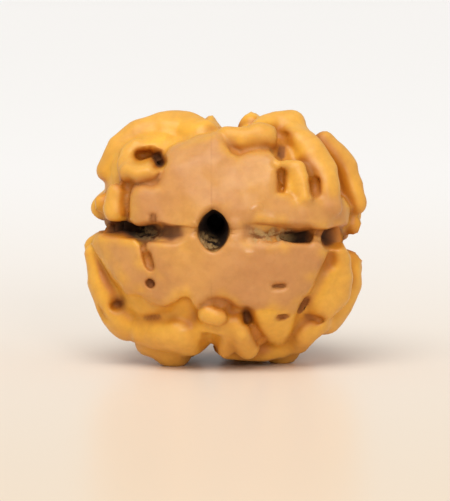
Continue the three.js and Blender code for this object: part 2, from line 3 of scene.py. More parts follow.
import bpy
import numpy as np
from bpy.props import FloatProperty, FloatVectorProperty, IntProperty, PointerProperty
from bpy.types import Operator, Panel, PropertyGroup
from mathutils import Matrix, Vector


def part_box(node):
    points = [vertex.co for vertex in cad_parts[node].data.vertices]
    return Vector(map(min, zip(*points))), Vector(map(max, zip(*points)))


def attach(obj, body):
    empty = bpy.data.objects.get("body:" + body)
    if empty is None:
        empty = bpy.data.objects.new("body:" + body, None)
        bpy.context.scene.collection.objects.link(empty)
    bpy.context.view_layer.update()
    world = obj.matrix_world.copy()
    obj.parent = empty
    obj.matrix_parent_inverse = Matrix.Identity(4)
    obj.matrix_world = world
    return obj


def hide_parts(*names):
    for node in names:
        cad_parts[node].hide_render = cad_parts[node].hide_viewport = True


bl_info = {
    "name": "Rudraksha bead",
    "version": (1, 0, 0),
    "blender": (4, 5, 0),
    "location": "3D View > Sidebar > Bead",
    "description": "A dried, lobed fruit stone with a hole for a cord, on a pale floor in soft light",
    "category": "Object",
}

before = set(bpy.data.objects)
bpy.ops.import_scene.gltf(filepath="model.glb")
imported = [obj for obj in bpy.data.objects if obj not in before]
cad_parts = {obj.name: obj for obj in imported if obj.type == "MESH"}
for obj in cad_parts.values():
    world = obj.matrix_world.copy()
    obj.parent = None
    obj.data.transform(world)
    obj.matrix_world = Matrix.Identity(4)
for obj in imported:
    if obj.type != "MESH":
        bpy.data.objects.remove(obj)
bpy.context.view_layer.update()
BEAD_LOW, BEAD_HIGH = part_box("bead")

# The bead's form is a field, negative inside and positive outside, about the distance to its surface.
# It is laid out in millimetres in the bead's own leaning frame: x right, y back, z up, the centre at zero.
MM = 0.001
HALF_WIDTH, HALF_DEPTH, HALF_HEIGHT = 10.1, 8.9, 9.2
BODY_RADIUS = 9.0
BODY_POWER = 2.4
CORE_SINK = 1.8
LOBE_SINK = 0.85
LEAN = math.radians(6.0)
HOLE_X, HOLE_Z = -0.85, 0.48
HOLE_RISE, HOLE_DRIFT = 0.15, 0.05
HOLE_POWER = 1.6
FLOOR = -9.25
RIDGE_BLEND = 0.45
PLATE_BLEND = 0.35
PLATE_THICKNESS = 2.4
LOBE_BLEND = 0.9
CORE_BLEND = 0.5
CLEFT_BLEND = 0.35
DENT_BLEND = 0.25
UNDERSIDE_BLEND = 0.5
HOLE_BLEND = 0.3
# The crown is the larger, rounder egg that the worn skin follows
CROWN_SIZES = (HALF_WIDTH + 0.5, HALF_DEPTH + 0.15, HALF_HEIGHT + 0.45)
CROWN_POWER = 2.3
CROWN_WAVE = 0.07
# The skin round the back end of the hole: centre (x, z) and radius
BACK_PLATE = (-0.4, 1.0, 4.6)
# The place (x, z) that the four clefts run out from
PIVOT = (-0.4, 0.3)
# The least that front_y leaves for y in the egg's formula, so that a crest at the rim isn't set at y = 0
RIM_SHARE = 0.05
# A thick rod that fills out the upper left lobe: x, y, z and radius of its two ends
FULL_LOBE = [(-5.1, -2.0, 4.5, 3.7), (-5.0, 2.0, 4.4, 3.35)]
KNOB_SEED = 1566311569
KNOB_ROWS, KNOBS_ACROSS = 4, 5

# Worn outer skin round the front end of the hole, above the side clefts. Corners (x, z) of its outline.
UPPER_PLATE = [
    (-6.5, 0.86), (-6.95, 1.3), (-6.95, 3.0), (-6.7, 3.75), (-6.2, 3.9), (-5.5, 3.68), (-5.0, 3.85),
    (-4.66, 4.5), (-4.47, 5.4), (-4.4, 6.1), (-4.1, 6.65), (-3.4, 7.1), (-2.4, 7.35), (-1.2, 7.55),
    (-0.35, 7.75), (0.1, 6.9), (0.5, 6.2), (1.0, 6.05), (1.6, 6.3), (2.4, 6.5), (3.2, 6.42),
    (3.75, 6.0), (3.65, 5.35), (3.85, 4.6), (3.86, 3.8), (3.85, 3.25), (4.6, 3.12), (5.2, 3.0),
    (5.9, 2.75), (7.2, 3.2), (8.8, 3.0), (9.3, 2.2), (9.1, 1.0), (8.2, 0.66), (7.4, 0.55),
    (6.4, 0.66), (5.4, 0.62), (4.3, 0.78), (3.4, 1.0), (2.4, 1.05), (1.3, 0.95), (0.9, -0.5),
    (-2.2, -0.8), (-2.8, 0.3), (-3.2, 0.55), (-4.4, 0.66), (-5.2, 0.8),
]

# The same skin below the side clefts
LOWER_PLATE = [
    (-5.7, -0.35), (-5.78, -0.8), (-5.45, -1.6), (-5.33, -2.3), (-5.25, -3.0), (-5.5, -3.9),
    (-6.3, -4.1), (-5.95, -4.55), (-5.5, -4.9), (-4.9, -5.1), (-4.2, -5.05), (-3.6, -4.75),
    (-3.2, -4.45), (-2.85, -4.35), (-2.55, -4.5), (-2.35, -4.95), (-2.05, -5.2), (-1.7, -4.98),
    (-1.2, -4.6), (-0.6, -4.48), (0.0, -4.6), (0.7, -5.0), (1.6, -5.2), (2.6, -5.22), (3.5, -5.2),
    (4.6, -5.5), (5.2, -5.6), (5.4, -5.0), (5.95, -4.3), (6.45, -3.7), (6.75, -3.0), (7.0, -2.3),
    (7.4, -1.6), (7.7, -0.9), (7.6, 0.0), (6.6, 0.2), (5.6, -0.1), (4.8, -0.3), (3.4, -0.45),
    (2.2, -0.3), (1.5, -0.2), (1.1, 1.4), (-2.3, 1.6), (-2.9, 0.0), (-3.6, -0.25), (-4.8, -0.25),
]

# The floor of the side clefts beside the hole
CLEFT_BED = [(-5.0, -0.9), (-5.0, 1.2), (4.5, 1.2), (4.5, -0.9)]

# The smooth facet at the lower left, and the ledge below it
LEFT_FACET = [
    (-9.9, -0.35), (-9.3, 0.3), (-8.6, 0.35), (-7.4, 0.08), (-6.6, -0.1), (-6.15, -0.6), (-6.02, -1.4),
    (-5.75, -2.1), (-5.3, -2.5), (-5.2, -3.6), (-5.4, -4.1), (-6.4, -4.3), (-7.3, -4.3), (-7.75, -3.7),
    (-8.3, -3.1), (-8.8, -2.4), (-9.1, -1.8), (-9.5, -1.1),
]
LEDGE = [
    (-7.5, -4.1), (-7.0, -4.8), (-6.65, -5.4), (-6.3, -5.78), (-5.7, -5.75), (-5.1, -5.5), (-4.2, -5.3),
    (-3.6, -4.6), (-5.5, -3.8),
]

# The tooth that hangs from the skin at the lower right
TOOTH = [
    (2.0, -5.0), (2.1, -5.9), (2.55, -7.0), (3.1, -7.9), (3.9, -8.4), (4.5, -8.2), (4.95, -7.3),
    (5.25, -6.3), (5.4, -5.2),
]

# Each plate: outline, depth of its face below the crown, roundness of its rim, and dip away from the hole
PLATES = [
    (UPPER_PLATE, 0.0, 0.52, 0.0),
    (LOWER_PLATE, 0.0, 0.5, 0.0),
    (CLEFT_BED, 0.1, 0.3, 0.9),
    (LEFT_FACET, 0.15, 0.4, 0.0),
    (LEDGE, 0.95, 0.3, 0.0),
    (TOOTH, 0.2, 0.7, 0.0),
]
PLATE_MARGIN = 0.8

# Ridges and knobs of the front half: how high the crest stands above the body, then points (x, z, radius)
FRONT_RIDGES = [
    # upper left lobe: outer arch, the curl and its hook, a knob at the rim, two teeth above the cleft
    (0.15, [(-8.3, 5.6, 0.8), (-7.8, 6.7, 0.9), (-6.4, 7.7, 1.1), (-4.6, 7.8, 1.4), (-2.9, 7.8, 1.5),
            (-1.6, 7.4, 1.3)]),
    (0.6, [(-6.6, 6.75, 0.55), (-7.15, 6.15, 0.62), (-7.3, 5.5, 0.66), (-6.95, 4.85, 0.7)]),
    (0.75, [(-6.95, 4.85, 0.7), (-6.2, 4.65, 0.7), (-5.45, 4.95, 0.85)]),
    (0.2, [(-8.75, 4.9, 0.72)]),
    (0.6, [(-7.9, 3.3, 0.7), (-8.0, 2.1, 1.0)]),
    (0.15, [(-9.1, 2.4, 0.75), (-9.6, 2.4, 0.5)]),
    # upper right lobe: mound in the notch, crest, main ridge, outer ridge, rim knobs, inner knob and links
    (0.5, [(0.3, 7.3, 0.8), (1.1, 7.1, 0.95), (2.3, 7.3, 0.9)]),
    (0.7, [(2.5, 7.4, 0.9), (3.15, 7.3, 0.9)]),
    (0.4, [(2.4, 8.0, 1.0), (3.6, 8.3, 1.1), (4.8, 8.4, 1.0)]),
    (0.85, [(5.1, 8.0, 1.0), (5.7, 7.0, 1.25), (6.4, 5.95, 1.25), (7.1, 4.8, 1.2), (7.55, 3.5, 1.1),
            (7.7, 2.3, 1.0)]),
    (0.25, [(7.3, 7.3, 0.65), (8.3, 6.3, 0.75), (9.0, 5.1, 0.8), (9.4, 3.9, 0.75), (9.4, 2.8, 0.7)]),
    (0.2, [(9.7, 2.35, 0.62)]),
    (0.1, [(9.5, 0.9, 0.7)]),
    (0.55, [(3.8, 5.35, 0.4), (4.6, 5.25, 0.42), (5.3, 5.2, 0.5)]),
    (0.8, [(5.5, 5.0, 0.65), (5.6, 4.2, 0.7), (5.8, 3.0, 0.7)]),
    (0.0, [(4.6, 4.9, 0.6), (4.7, 3.6, 0.7)]),
    # lower right lobe
    (0.55, [(8.2, -0.8, 0.8), (8.4, -1.6, 0.95), (8.3, -2.7, 1.2), (7.9, -4.0, 1.3), (7.2, -5.0, 1.2)]),
    (0.15, [(7.4, -3.0, 1.0), (6.9, -4.3, 1.1)]),
    (0.05, [(9.4, -2.0, 0.8), (9.2, -3.5, 1.0), (8.5, -5.0, 1.1), (7.6, -6.1, 1.1)]),
    (0.3, [(9.6, -1.3, 0.6)]),
    (0.6, [(6.8, -6.3, 1.0), (5.9, -6.9, 1.0), (5.3, -7.8, 0.9)]),
    (0.2, [(4.2, -8.3, 0.8), (2.9, -8.3, 0.8)]),
    (0.65, [(1.3, -7.0, 0.8), (1.7, -8.0, 0.9)]),
    (0.65, [(-0.4, -7.0, 0.8), (-0.2, -8.0, 0.9)]),
    (0.65, [(-1.15, -5.7, 0.78), (-0.75, -5.75, 0.78)]),
    (0.2, [(-2.2, -7.6, 1.0), (-1.0, -7.8, 0.9)]),
    (0.3, [(0.2, -8.1, 1.0), (1.6, -8.4, 1.0), (2.9, -8.5, 0.9)]),
    (0.25, [(-1.2, -6.6, 1.1), (-0.2, -6.4, 1.1), (0.9, -6.3, 0.9)]),
    # lower left lobe
    (0.6, [(-6.0, -6.9, 1.1), (-4.7, -6.9, 1.5), (-3.1, -6.7, 1.5)]),
    (0.35, [(-2.6, -7.3, 1.2), (-4.0, -7.8, 1.3), (-5.4, -7.6, 1.3)]),
    (0.2, [(-9.5, -1.2, 0.9), (-9.0, -3.2, 1.2), (-8.3, -5.0, 1.3), (-7.4, -6.3, 1.3)]),
]

# A crest whose underside lies less deep than this gets a root below it
ROOT_NEED = 1.1

# Dents of the front: depth below the crown, radius, darkness of the bottom (painted shade), ends (x, z) of
# their line
DENTS = [
    (1.5, 0.4, 0.9, (-5.5, -3.35), (-5.42, -3.42)),
    (1.4, 0.27, 0.9, (3.6, -3.6), (4.25, -3.55)),
    (1.4, 0.25, 0.5, (3.9, -5.8), (4.5, -5.8)),
    (2.0, 0.34, 0.5, (6.6, 4.1), (6.68, 3.35)),
    (2.0, 0.5, 0.25, (4.35, 7.5), (4.25, 6.9)),
    (2.4, 0.34, 0.8, (4.2, 6.6), (4.12, 6.0)),
    (3.2, 0.55, 0.9, (-5.0, 5.95), (-4.8, 5.5)),
    (2.6, 0.62, 0.15, (-6.2, 5.95), (-5.5, 6.1)),
    (2.6, 0.85, 0.45, (-7.9, -4.9), (-7.75, -4.9)),
    (2.0, 0.3, 0.5, (6.0, -4.5), (5.6, -5.4)),
    (2.8, 0.48, 0.9, (1.55, -5.5), (1.7, -6.0)),
    (1.9, 0.34, 0.5, (1.95, -6.4), (2.5, -7.6)),
    (1.9, 0.3, 0.3, (-5.8, -5.95), (-4.9, -5.85)),
    (2.2, 0.32, 0.5, (4.15, 4.7), (4.15, 3.5)),
    (2.0, 0.32, 0.35, (6.0, -5.8), (7.0, -6.1)),
    (1.2, 0.45, 0.15, (-0.5, -4.9), (0.3, -5.05)),
    (2.2, 0.32, 0.4, (-6.95, 3.95), (-7.3, 3.7)),
    (1.2, 0.24, 0.15, (-5.15, 0.5), (-5.25, 1.6)),
    (2.2, 0.26, 0.7, (-5.68, -1.3), (-5.45, -2.2)),
]

# A dent acts where its bell is higher than this share, and its floor begins this far before the crown
DENT_LEAST = 0.05
DENT_START = 1.0

# Rubbed swellings right of the hole: radius and the ends (x, z) of their line
POLISHED = [
    (0.5, (1.5, 1.95), (2.4, 2.1)),
    (0.4, (1.5, -1.15), (2.4, -1.15)),
]
POLISH_RISE, POLISH_GRAIN = 0.07, 0.04

# The three low knobs that the bead stands on: (x, y) on the ground
FEET = [(-3.85, -2.9), (4.2, -1.2), (1.8, 4.3)]
FOOT_RADIUS = 1.5
FOOT_PRESS = 0.25
FOOT_BLEND = 0.6

# The four clefts: angle round the hole at the front, waist and back; where they begin; how wide they open
CLEFTS = [
    (0.0, -4.0, 5.0, 1.0, 2.0),
    (86.0, 84.0, 95.0, 7.9, 0.55),
    (178.5, 177.0, 186.0, 1.8, 3.0),
    (265.0, 264.0, 272.0, 7.4, 1.2),
]
CRACK_HALF_WIDTH = [0.16, 0.2, 0.2, 0.2]

# The net of points that the surface is woven from
RING_RADIUS = 4.6
FIRST_AROUND, FIRST_ALONG = 72, 85
START_REACH = 14.0
MARCH_STEPS = 70
# In each round a point moves this share of the way to its neighbours' mean, then at most this far to the
# surface
PULL = 0.5
FURTHEST_STEP = 0.25
PROBE = 0.03
TETRA = np.array([(1, 1, 1), (1, -1, -1), (-1, 1, -1), (-1, -1, 1)], np.float32)

# Layers of fine relief, and of the grey crumbs: height, size and seed of each layer's noise
RELIEF = [(0.14, 2.3, 5), (0.07, 1.1, 1), (0.03, 0.55, 2)]
CRUMBS = [(0.16, 0.32, 3), (0.08, 0.18, 4)]
# How far out from the surface the field is read to tell a crease and a wider hollow, which the material
# darkens with painted shade
OPENNESS = {"near_open": 0.35, "far_open": 1.6}
# The outlines that the worn skin covers, and how far it stops short of each
SKIN_PATCHES = [(UPPER_PLATE, 0.0), (LOWER_PLATE, 0.0), (CLEFT_BED, 0.0), (LEFT_FACET, 0.5)]

# The stage. A pixel of the photograph covers this many metres at the bead.
PIXEL = 0.0000747
PICTURE_ROWS = 501
FLOOR_REACH = 2.0
SKY_COLOUR = (1.0, 0.985, 0.965, 1.0)
# The broad light comes from above, in front and a little left
KEY_DIRECTION = (-0.12, -0.5, 0.9)
KEY_SPREAD = math.radians(50.0)
KEY_COLOUR = (1.0, 0.985, 0.96)
FRONT_LIGHT_PLACE = (0.068, -0.322, 0.13)
FRONT_LIGHT_SIZE = 0.06
FRONT_LIGHT_COLOUR = (1.0, 0.98, 0.96)
SENSOR_HEIGHT = 24.0


def soft_step(value, low, high):
    """0 below low, 1 above high, and a smooth S between them: t squared times three less two t."""
    t = np.clip((value - low) / (high - low), 0.0, 1.0)
    return t * t * (3.0 - 2.0 * t)


def smooth_min(a, b, blend):
    """The smaller of two values, with the corner between them rounded by a parabola of this width."""
    h = np.maximum(blend - np.abs(a - b), 0.0) / blend
    return np.minimum(a, b) - h * h * blend * 0.25


def smooth_max(a, b, blend):
    """The larger of two values, with the corner between them rounded."""
    return -smooth_min(-a, -b, blend)


def egg_ratio(p, sizes, power):
    """0 at the egg's centre and 1 on its surface: x, y and z over their sizes, each raised to the power,
    and the sum's root of the same power."""
    return (np.abs(p / np.array(sizes, p.dtype)) ** power).sum(1) ** (1.0 / power)


def body_distance(p, sink):
    """Distance outside the egg this deep below the body: the point's radius less the egg's in its way."""
    ratio = egg_ratio(p, (HALF_WIDTH - sink, HALF_DEPTH - sink, HALF_HEIGHT - sink), BODY_POWER)
    return np.linalg.norm(p, axis=1) * (1.0 - 1.0 / np.maximum(ratio, 1e-6))


def crown_distance(p):
    """Distance outside the larger, rounder egg that the worn skin follows, with two gentle sine waves."""
    ratio = egg_ratio(p, CROWN_SIZES, CROWN_POWER)
    waves = np.sin(1.5 * p[:, 0] + 0.8 * p[:, 2]) + np.sin(1.3 * p[:, 2] - 0.9 * p[:, 0] + 2.0)
    return np.linalg.norm(p, axis=1) * (1.0 - 1.0 / np.maximum(ratio, 1e-6)) + CROWN_WAVE * waves


def front_y(x, z, sink):
    """The y of the body's front face at (x, z), this deep below it, solved from the egg's formula.
    Outside the egg's outline it is the rim's y."""
    sideways = abs(x / (HALF_WIDTH - sink)) ** BODY_POWER
    upwards = abs(z / (HALF_HEIGHT - sink)) ** BODY_POWER
    return -(HALF_DEPTH - sink) * max(1.0 - sideways - upwards, RIM_SHARE) ** (1.0 / BODY_POWER)


def place_on_body(angle, y, sink):
    """The place this deep below the body at an angle round the hole's direction and a depth y."""
    cos, sin = math.cos(angle), math.sin(angle)
    left = max(1.0 - abs(y / (HALF_DEPTH - sink)) ** BODY_POWER, 0.02)
    sideways = abs(cos / (HALF_WIDTH - sink)) ** BODY_POWER
    upwards = abs(sin / (HALF_HEIGHT - sink)) ** BODY_POWER
    reach = (left / (sideways + upwards)) ** (1.0 / BODY_POWER)
    return reach * cos, y, reach * sin


def random_numbers(seed):
    """Repeatable numbers from 0 to 1: each state is 16807 times the last, modulo 2147483647."""
    state = seed
    while True:
        state = state * 16807 % 2147483647
        yield state / 2147483647


def cleft_angle(k, y):
    """A cleft's angle at depth y: a parabola from the waist to the front or back angle, plus a sine."""
    front, waist, back = CLEFTS[k][:3]
    t = np.clip(y / HALF_DEPTH, -1.0, 1.0)
    end = np.where(t < 0, front, back)
    wander = 3.0 * np.sin(1.1 * y + 2.0 * k) * np.clip(1.0 + t, 0.0, 1.0)
    return np.radians(waist + (end - waist) * t * t + wander)


def rear_knobs(k, draw):
    """The knobs of one lobe's side and back: rows in depth, spread between the clefts beside the lobe."""
    knobs = []
    for i in range(KNOB_ROWS * KNOBS_ACROSS):
        row, column = divmod(i, KNOBS_ACROSS)
        shift_angle = next(draw) - 0.5
        shift_y = next(draw) - 0.5
        radius = 0.8 + 0.45 * next(draw)
        lift = -0.1 + 0.4 * next(draw)
        y = 0.5 + 2.0 * (row + 0.5 * shift_y + (0.3 if column % 2 else 0.0))
        start = float(cleft_angle(k, y))
        end = float(cleft_angle((k + 1) % 4, y)) + (2.0 * math.pi if k == 3 else 0.0)
        share = 0.5 + ((column + 0.5 + 0.5 * shift_angle) / KNOBS_ACROSS - 0.5) * 0.9
        knobs.append((start + (end - start) * share, y, radius, lift))
    return knobs


def rear_ridges():
    """Each knob is a ball, or the start of a low ridge that runs across or back to the next knob."""
    draw = random_numbers(KNOB_SEED)
    chains = []
    for k in range(4):
        knobs = rear_knobs(k, draw)
        for i, (angle, y, radius, lift) in enumerate(knobs):
            choice = next(draw)
            chain = [(*place_on_body(angle, y, radius - lift), radius)]
            joins_across = choice < 0.3 and i % KNOBS_ACROSS < KNOBS_ACROSS - 1
            joins_back = 0.3 <= choice < 0.75 and i + KNOBS_ACROSS < len(knobs)
            if joins_across or joins_back:
                other = knobs[i + 1 if joins_across else i + KNOBS_ACROSS]
                waist = 0.85 * radius
                middle = place_on_body((angle + other[0]) / 2, (y + other[1]) / 2, waist - lift + 0.1)
                chain.append((*middle, waist))
                chain.append((*place_on_body(other[0], other[1], other[2] - other[3]), other[2]))
            chains.append(chain)
    return chains


def with_reach(chain):
    """A ridge's points and radii, with the ball round them past which the ridge has no effect."""
    points = np.array([point[:3] for point in chain], np.float32)
    radii = [point[3] for point in chain]
    centre = points.mean(0)
    reach = float(np.linalg.norm(points - centre, axis=1).max()) + max(radii) + 1.2
    return points, radii, centre, reach


def front_chains():
    """Each ridge's crest, and under a thin high crest a root that ties it to the lobe below."""
    chains = []
    for lift, points in FRONT_RIDGES:
        chains.append([(x, front_y(x, z, r - lift), z, r) for x, z, r in points])
        if 2.0 * points[0][2] - lift < ROOT_NEED:
            chains.append([(x, front_y(x, z, 1.8 * r - lift), z, 0.9 * r) for x, z, r in points])
    return chains


RIDGES = [with_reach(chain) for chain in [FULL_LOBE] + front_chains() + rear_ridges()]


def rod_distance(p, a, b, radius_a, radius_b):
    """Distance to a tapered rod: to the nearest point of the line from a to b, less the radius there."""
    line = b - a
    length2 = float(line @ line)
    t = np.clip((p - a) @ line / max(length2, 1e-9), 0.0, 1.0)
    return np.linalg.norm(p - a - t[:, None] * line, axis=1) - (radius_a + t * (radius_b - radius_a))


def outline_distance(x, z, outline):
    """Distance to the nearest edge of a closed outline, negative inside, where a ray crosses it an odd
    number of times."""
    corners = np.array(outline, np.float32)
    best = np.full(x.shape, 1e9, np.float32)
    inside = np.zeros(x.shape, bool)
    for (ax, az), (bx, bz) in zip(corners, np.roll(corners, -1, axis=0)):
        ex, ez = bx - ax, bz - az
        dx, dz = x - ax, z - az
        t = np.clip((dx * ex + dz * ez) / (ex * ex + ez * ez), 0.0, 1.0)
        best = np.minimum(best, (dx - t * ex) ** 2 + (dz - t * ez) ** 2)
        slope = ex / ez if abs(ez) > 1e-9 else 0.0
        inside ^= ((az > z) != (bz > z)) & (dx < dz * slope)
    return np.where(inside, -1.0, 1.0) * np.sqrt(best)


def plate_distance(side, crown, rim):
    """A plate with a rounded rim: side from the outline, face from the crown, back a fixed way below."""
    a, c = side + rim, crown + rim
    solid = np.minimum(np.maximum(a, c), 0.0) + np.hypot(np.maximum(a, 0.0), np.maximum(c, 0.0)) - rim
    return np.maximum(solid, -c - PLATE_THICKNESS)


def near_ridges(p, margin):
    """For each ridge, the points inside its ball."""
    lists = []
    for _, _, centre, reach in RIDGES:
        lists.append(np.nonzero(((p - centre) ** 2).sum(1) < (reach + margin) ** 2)[0])
    return lists


def uneven(p):
    """The point moved by six slow sine waves, more at the sides and back than in front."""
    x, y, z = p[:, 0], p[:, 1], p[:, 2]
    share = 0.06 + 0.07 * np.clip((y + 3.0) / 4.0, 0.0, 1.0)
    waves = np.empty_like(p)
    waves[:, 0] = np.sin(1.3 * y + 0.7 * z + 1.0) + np.sin(1.9 * z - 1.1 * x + 4.0)
    waves[:, 1] = np.sin(1.2 * z + 0.9 * x + 2.0) + np.sin(1.7 * x + 1.2 * y + 5.0)
    waves[:, 2] = np.sin(1.4 * x - 0.6 * y + 3.0) + np.sin(1.8 * y + z + 6.0)
    return p + waves * share[:, None]


def cleft_places(p, y):
    """For each cleft, how far out along it a point lies and how far to its side."""
    px, pz = p[:, 0] - PIVOT[0], p[:, 2] - PIVOT[1]
    places = []
    for k in range(4):
        angle = cleft_angle(k, y)
        cos, sin = np.cos(angle), np.sin(angle)
        along = px * cos + pz * sin
        wobble = 0.1 * np.sin(1.6 * y + k) + 0.07 * np.sin(2.6 * along + k)
        places.append((along, np.abs(pz * cos - px * sin + wobble)))
    return places


def flesh_distance(p, lists):
    """The core and four lobes, which the clefts' valleys part, joined with every ridge and knob."""
    q = uneven(p)
    px, pz = p[:, 0] - PIVOT[0], p[:, 2] - PIVOT[1]
    cleft = np.full(len(p), 9.0, p.dtype)
    for along, aside in cleft_places(p, q[:, 1]):
        cleft = np.where(along > 0, np.minimum(cleft, aside), cleft)
    steepness = soft_step(np.abs(pz) / (np.abs(px) + 0.01), 0.5, 1.2)
    valley = 0.3 + 0.6 * np.maximum(steepness, soft_step(q[:, 1], -2.0, 3.0))
    lobes = smooth_max(body_distance(q, LOBE_SINK), valley - cleft, LOBE_BLEND)
    f = smooth_min(body_distance(q, CORE_SINK), lobes, CORE_BLEND)
    for (points, radii, _, _), near in zip(RIDGES, lists):
        if not len(near):
            continue
        local = q[near]
        last = min(1, len(points) - 1)
        d = rod_distance(local, points[0], points[last], radii[0], radii[last])
        for i in range(1, len(points) - 1):
            d = np.minimum(d, rod_distance(local, points[i], points[i + 1], radii[i], radii[i + 1]))
        f[near] = smooth_min(f[near], d, RIDGE_BLEND)
    return f


def add_plates(f, p):
    """The worn skin and facets of the front, each where its outline is near."""
    crown = crown_distance(p)
    for outline, sink, rim, dip in PLATES:
        corners = np.array(outline)
        low, high = corners.min(0) - PLATE_MARGIN, corners.max(0) + PLATE_MARGIN
        inside = (p[:, 0] > low[0]) & (p[:, 0] < high[0]) & (p[:, 2] > low[1]) & (p[:, 2] < high[1])
        near = np.nonzero(inside & (p[:, 1] < 0.0))[0]
        if not len(near):
            continue
        x, z = p[near, 0], p[near, 2]
        depth = sink + dip * soft_step(np.abs(x + 0.9), 1.4, 4.6)
        plate = plate_distance(outline_distance(x, z, outline), crown[near] + depth, rim)
        f[near] = smooth_min(f[near], plate, PLATE_BLEND)
    return f


def add_back_plate(f, p):
    """The skin round the back end of the hole: a disc whose rim waves three, five and eleven times."""
    near = np.nonzero(p[:, 1] > 2.0)[0]
    dx, dz = p[near, 0] - BACK_PLATE[0], p[near, 2] - BACK_PLATE[1]
    angle = np.arctan2(dz, dx)
    waves = 0.6 * np.sin(3 * angle + 1.0) + 0.55 * np.sin(5 * angle + 2.5) + 0.35 * np.sin(11 * angle + 0.5)
    side = (np.hypot(dx, dz) - BACK_PLATE[2] - waves) * 0.8
    f[near] = smooth_min(f[near], plate_distance(side, crown_distance(p[near]), 0.5), PLATE_BLEND)
    return f


def cleft_depths(k, along, y, share):
    """How deep a cleft's soft furrow and the crack at its bottom are."""
    front = soft_step(-y, 1.0, 5.0)
    if k == 0:
        bridge = soft_step(along, 6.6, 7.0) * (1 - soft_step(along, 7.4, 7.8))
        closing = soft_step(along, 8.4, 9.2)
        deepest = front * (1.1 - 0.4 * closing)
        furrow = (1 - front) * 0.9 + deepest * soft_step(along, 1.0, 5.2) * (1 - 0.6 * bridge)
        open_part = soft_step(along, 3.8, 5.0) * (1 - 0.95 * bridge) * (1 - 0.7 * closing)
        crack = (1 - front) * 1.5 + front * 2.6 * open_part
    elif k == 1:
        furrow = np.full_like(y, 1.1)
        crack = 1.5 * (1 - front)
    elif k == 2:
        fading = 1 - 0.6 * soft_step(along, 8.2, 9.5)
        furrow = (1 - front) * 0.9 + front * 1.1 * soft_step(along, 2.2, 5.0)
        crack = (1 - front) * 1.5 + front * 2.7 * soft_step(along, 3.6, 5.0) * fading
    else:
        furrow = 0.95 - 0.45 * front
        crack = 1.6 - 1.1 * front
    return furrow, furrow + np.maximum(crack - furrow, 0.0) * share - 0.3 * (1 - share)


def cut_clefts(f, p, share):
    """Each cleft is a parabolic furrow with a flat-bottomed crack in it, cut down from the body's egg."""
    ratio = egg_ratio(p, (HALF_WIDTH, HALF_DEPTH, HALF_HEIGHT), BODY_POWER)
    y = p[:, 1]
    for k, (along, aside) in enumerate(cleft_places(p, y)):
        begin, spread = CLEFTS[k][3:]
        furrow, crack = cleft_depths(k, along, y, share)
        start = begin + (3.4 - begin) * soft_step(y, -1.0, 1.0)
        wall = np.maximum(aside - CRACK_HALF_WIDTH[k], 0.0)
        depth = np.maximum(furrow - spread * aside * aside, crack - 28.0 * wall * wall)
        f = smooth_max(f, -np.maximum((1.0 - ratio) * BODY_RADIUS - depth, start - along), CLEFT_BLEND)
    return f


def crack_darkness(p):
    """1 deep in the two side clefts, and about a half where their shallow ends run out towards the hole.
    Deep down it is painted shade, together with the clefts' dark dirt.
    """
    right, _, left, _ = cleft_places(p, p[:, 1])
    crown = crown_distance(p)
    below = soft_step(-crown, 0.55, 1.7)
    right_end = soft_step(right[0], 3.8, 5.4) * (1 - 0.6 * soft_step(right[0], 8.4, 9.4)) * (right[1] < 1.2)
    left_end = soft_step(left[0], 3.9, 5.1) * (1 - 0.6 * soft_step(left[0], 6.6, 8.0)) * (left[1] < 1.2)
    deep = below * np.clip(right_end + left_end, 0.0, 1.0)
    ragged = 0.25 * lattice_noise(p, 0.7, 7)
    bed = 0.45 * soft_step(right[0] + ragged, 1.2, 2.4) * soft_step(ragged - right[1], -0.75, -0.2)
    bed = bed * (1 - soft_step(right[0], 6.2, 7.0))
    bed = bed + 0.6 * soft_step(left[0] + ragged, 2.2, 3.1) * soft_step(ragged - left[1], -0.7, -0.2)
    bed = bed * (1 - soft_step(left[0], 7.0, 8.0))
    shallow = bed * soft_step(-crown, -0.3, 0.1)
    return np.maximum(deep, shallow) * soft_step(-p[:, 1], -1.0, 2.0)


def dent_share(x, z, radius, start, end):
    """A bell round a short line: e to the minus square of the distance to it over the radius."""
    line_x, line_z = end[0] - start[0], end[1] - start[1]
    dx, dz = x - start[0], z - start[1]
    t = np.clip((dx * line_x + dz * line_z) / max(line_x ** 2 + line_z ** 2, 1e-9), 0.0, 1.0)
    return np.exp(-((dx - t * line_x) ** 2 + (dz - t * line_z) ** 2) / radius ** 2)


def dent_floor(p, dent):
    """The y of a dent's floor at each point: a little before the crown, and deeper by its bell."""
    depth, radius, _, start, end = dent
    sideways = np.abs(p[:, 0] / CROWN_SIZES[0]) ** CROWN_POWER
    upwards = np.abs(p[:, 2] / CROWN_SIZES[2]) ** CROWN_POWER
    crown_y = -CROWN_SIZES[1] * np.maximum(1.0 - sideways - upwards, 0.0) ** (1 / CROWN_POWER)
    return crown_y - DENT_START + (depth + DENT_START) * dent_share(p[:, 0], p[:, 2], radius, start, end)


def near_dent(p, dent):
    """The points of the front where the dent's bell is higher than its least share."""
    share = dent_share(p[:, 0], p[:, 2], dent[1], dent[3], dent[4])
    return np.nonzero((p[:, 1] < 0.0) & (share > DENT_LEAST))[0]


def press_dents(f, p):
    """What lies before each dent's floor is cut away."""
    for dent in DENTS:
        near = near_dent(p, dent)
        f[near] = smooth_max(f[near], (dent_floor(p[near], dent) - p[near, 1]) * 0.7, DENT_BLEND)
    return f


def sink_into_dents(net):
    """The net's points before a dent's floor move straight back onto it, so that enough lie inside."""
    p = net.reshape(-1, 3).copy()
    for dent in DENTS:
        near = near_dent(p, dent)
        p[near, 1] = np.maximum(p[near, 1], dent_floor(p[near], dent))
    return p.reshape(net.shape)


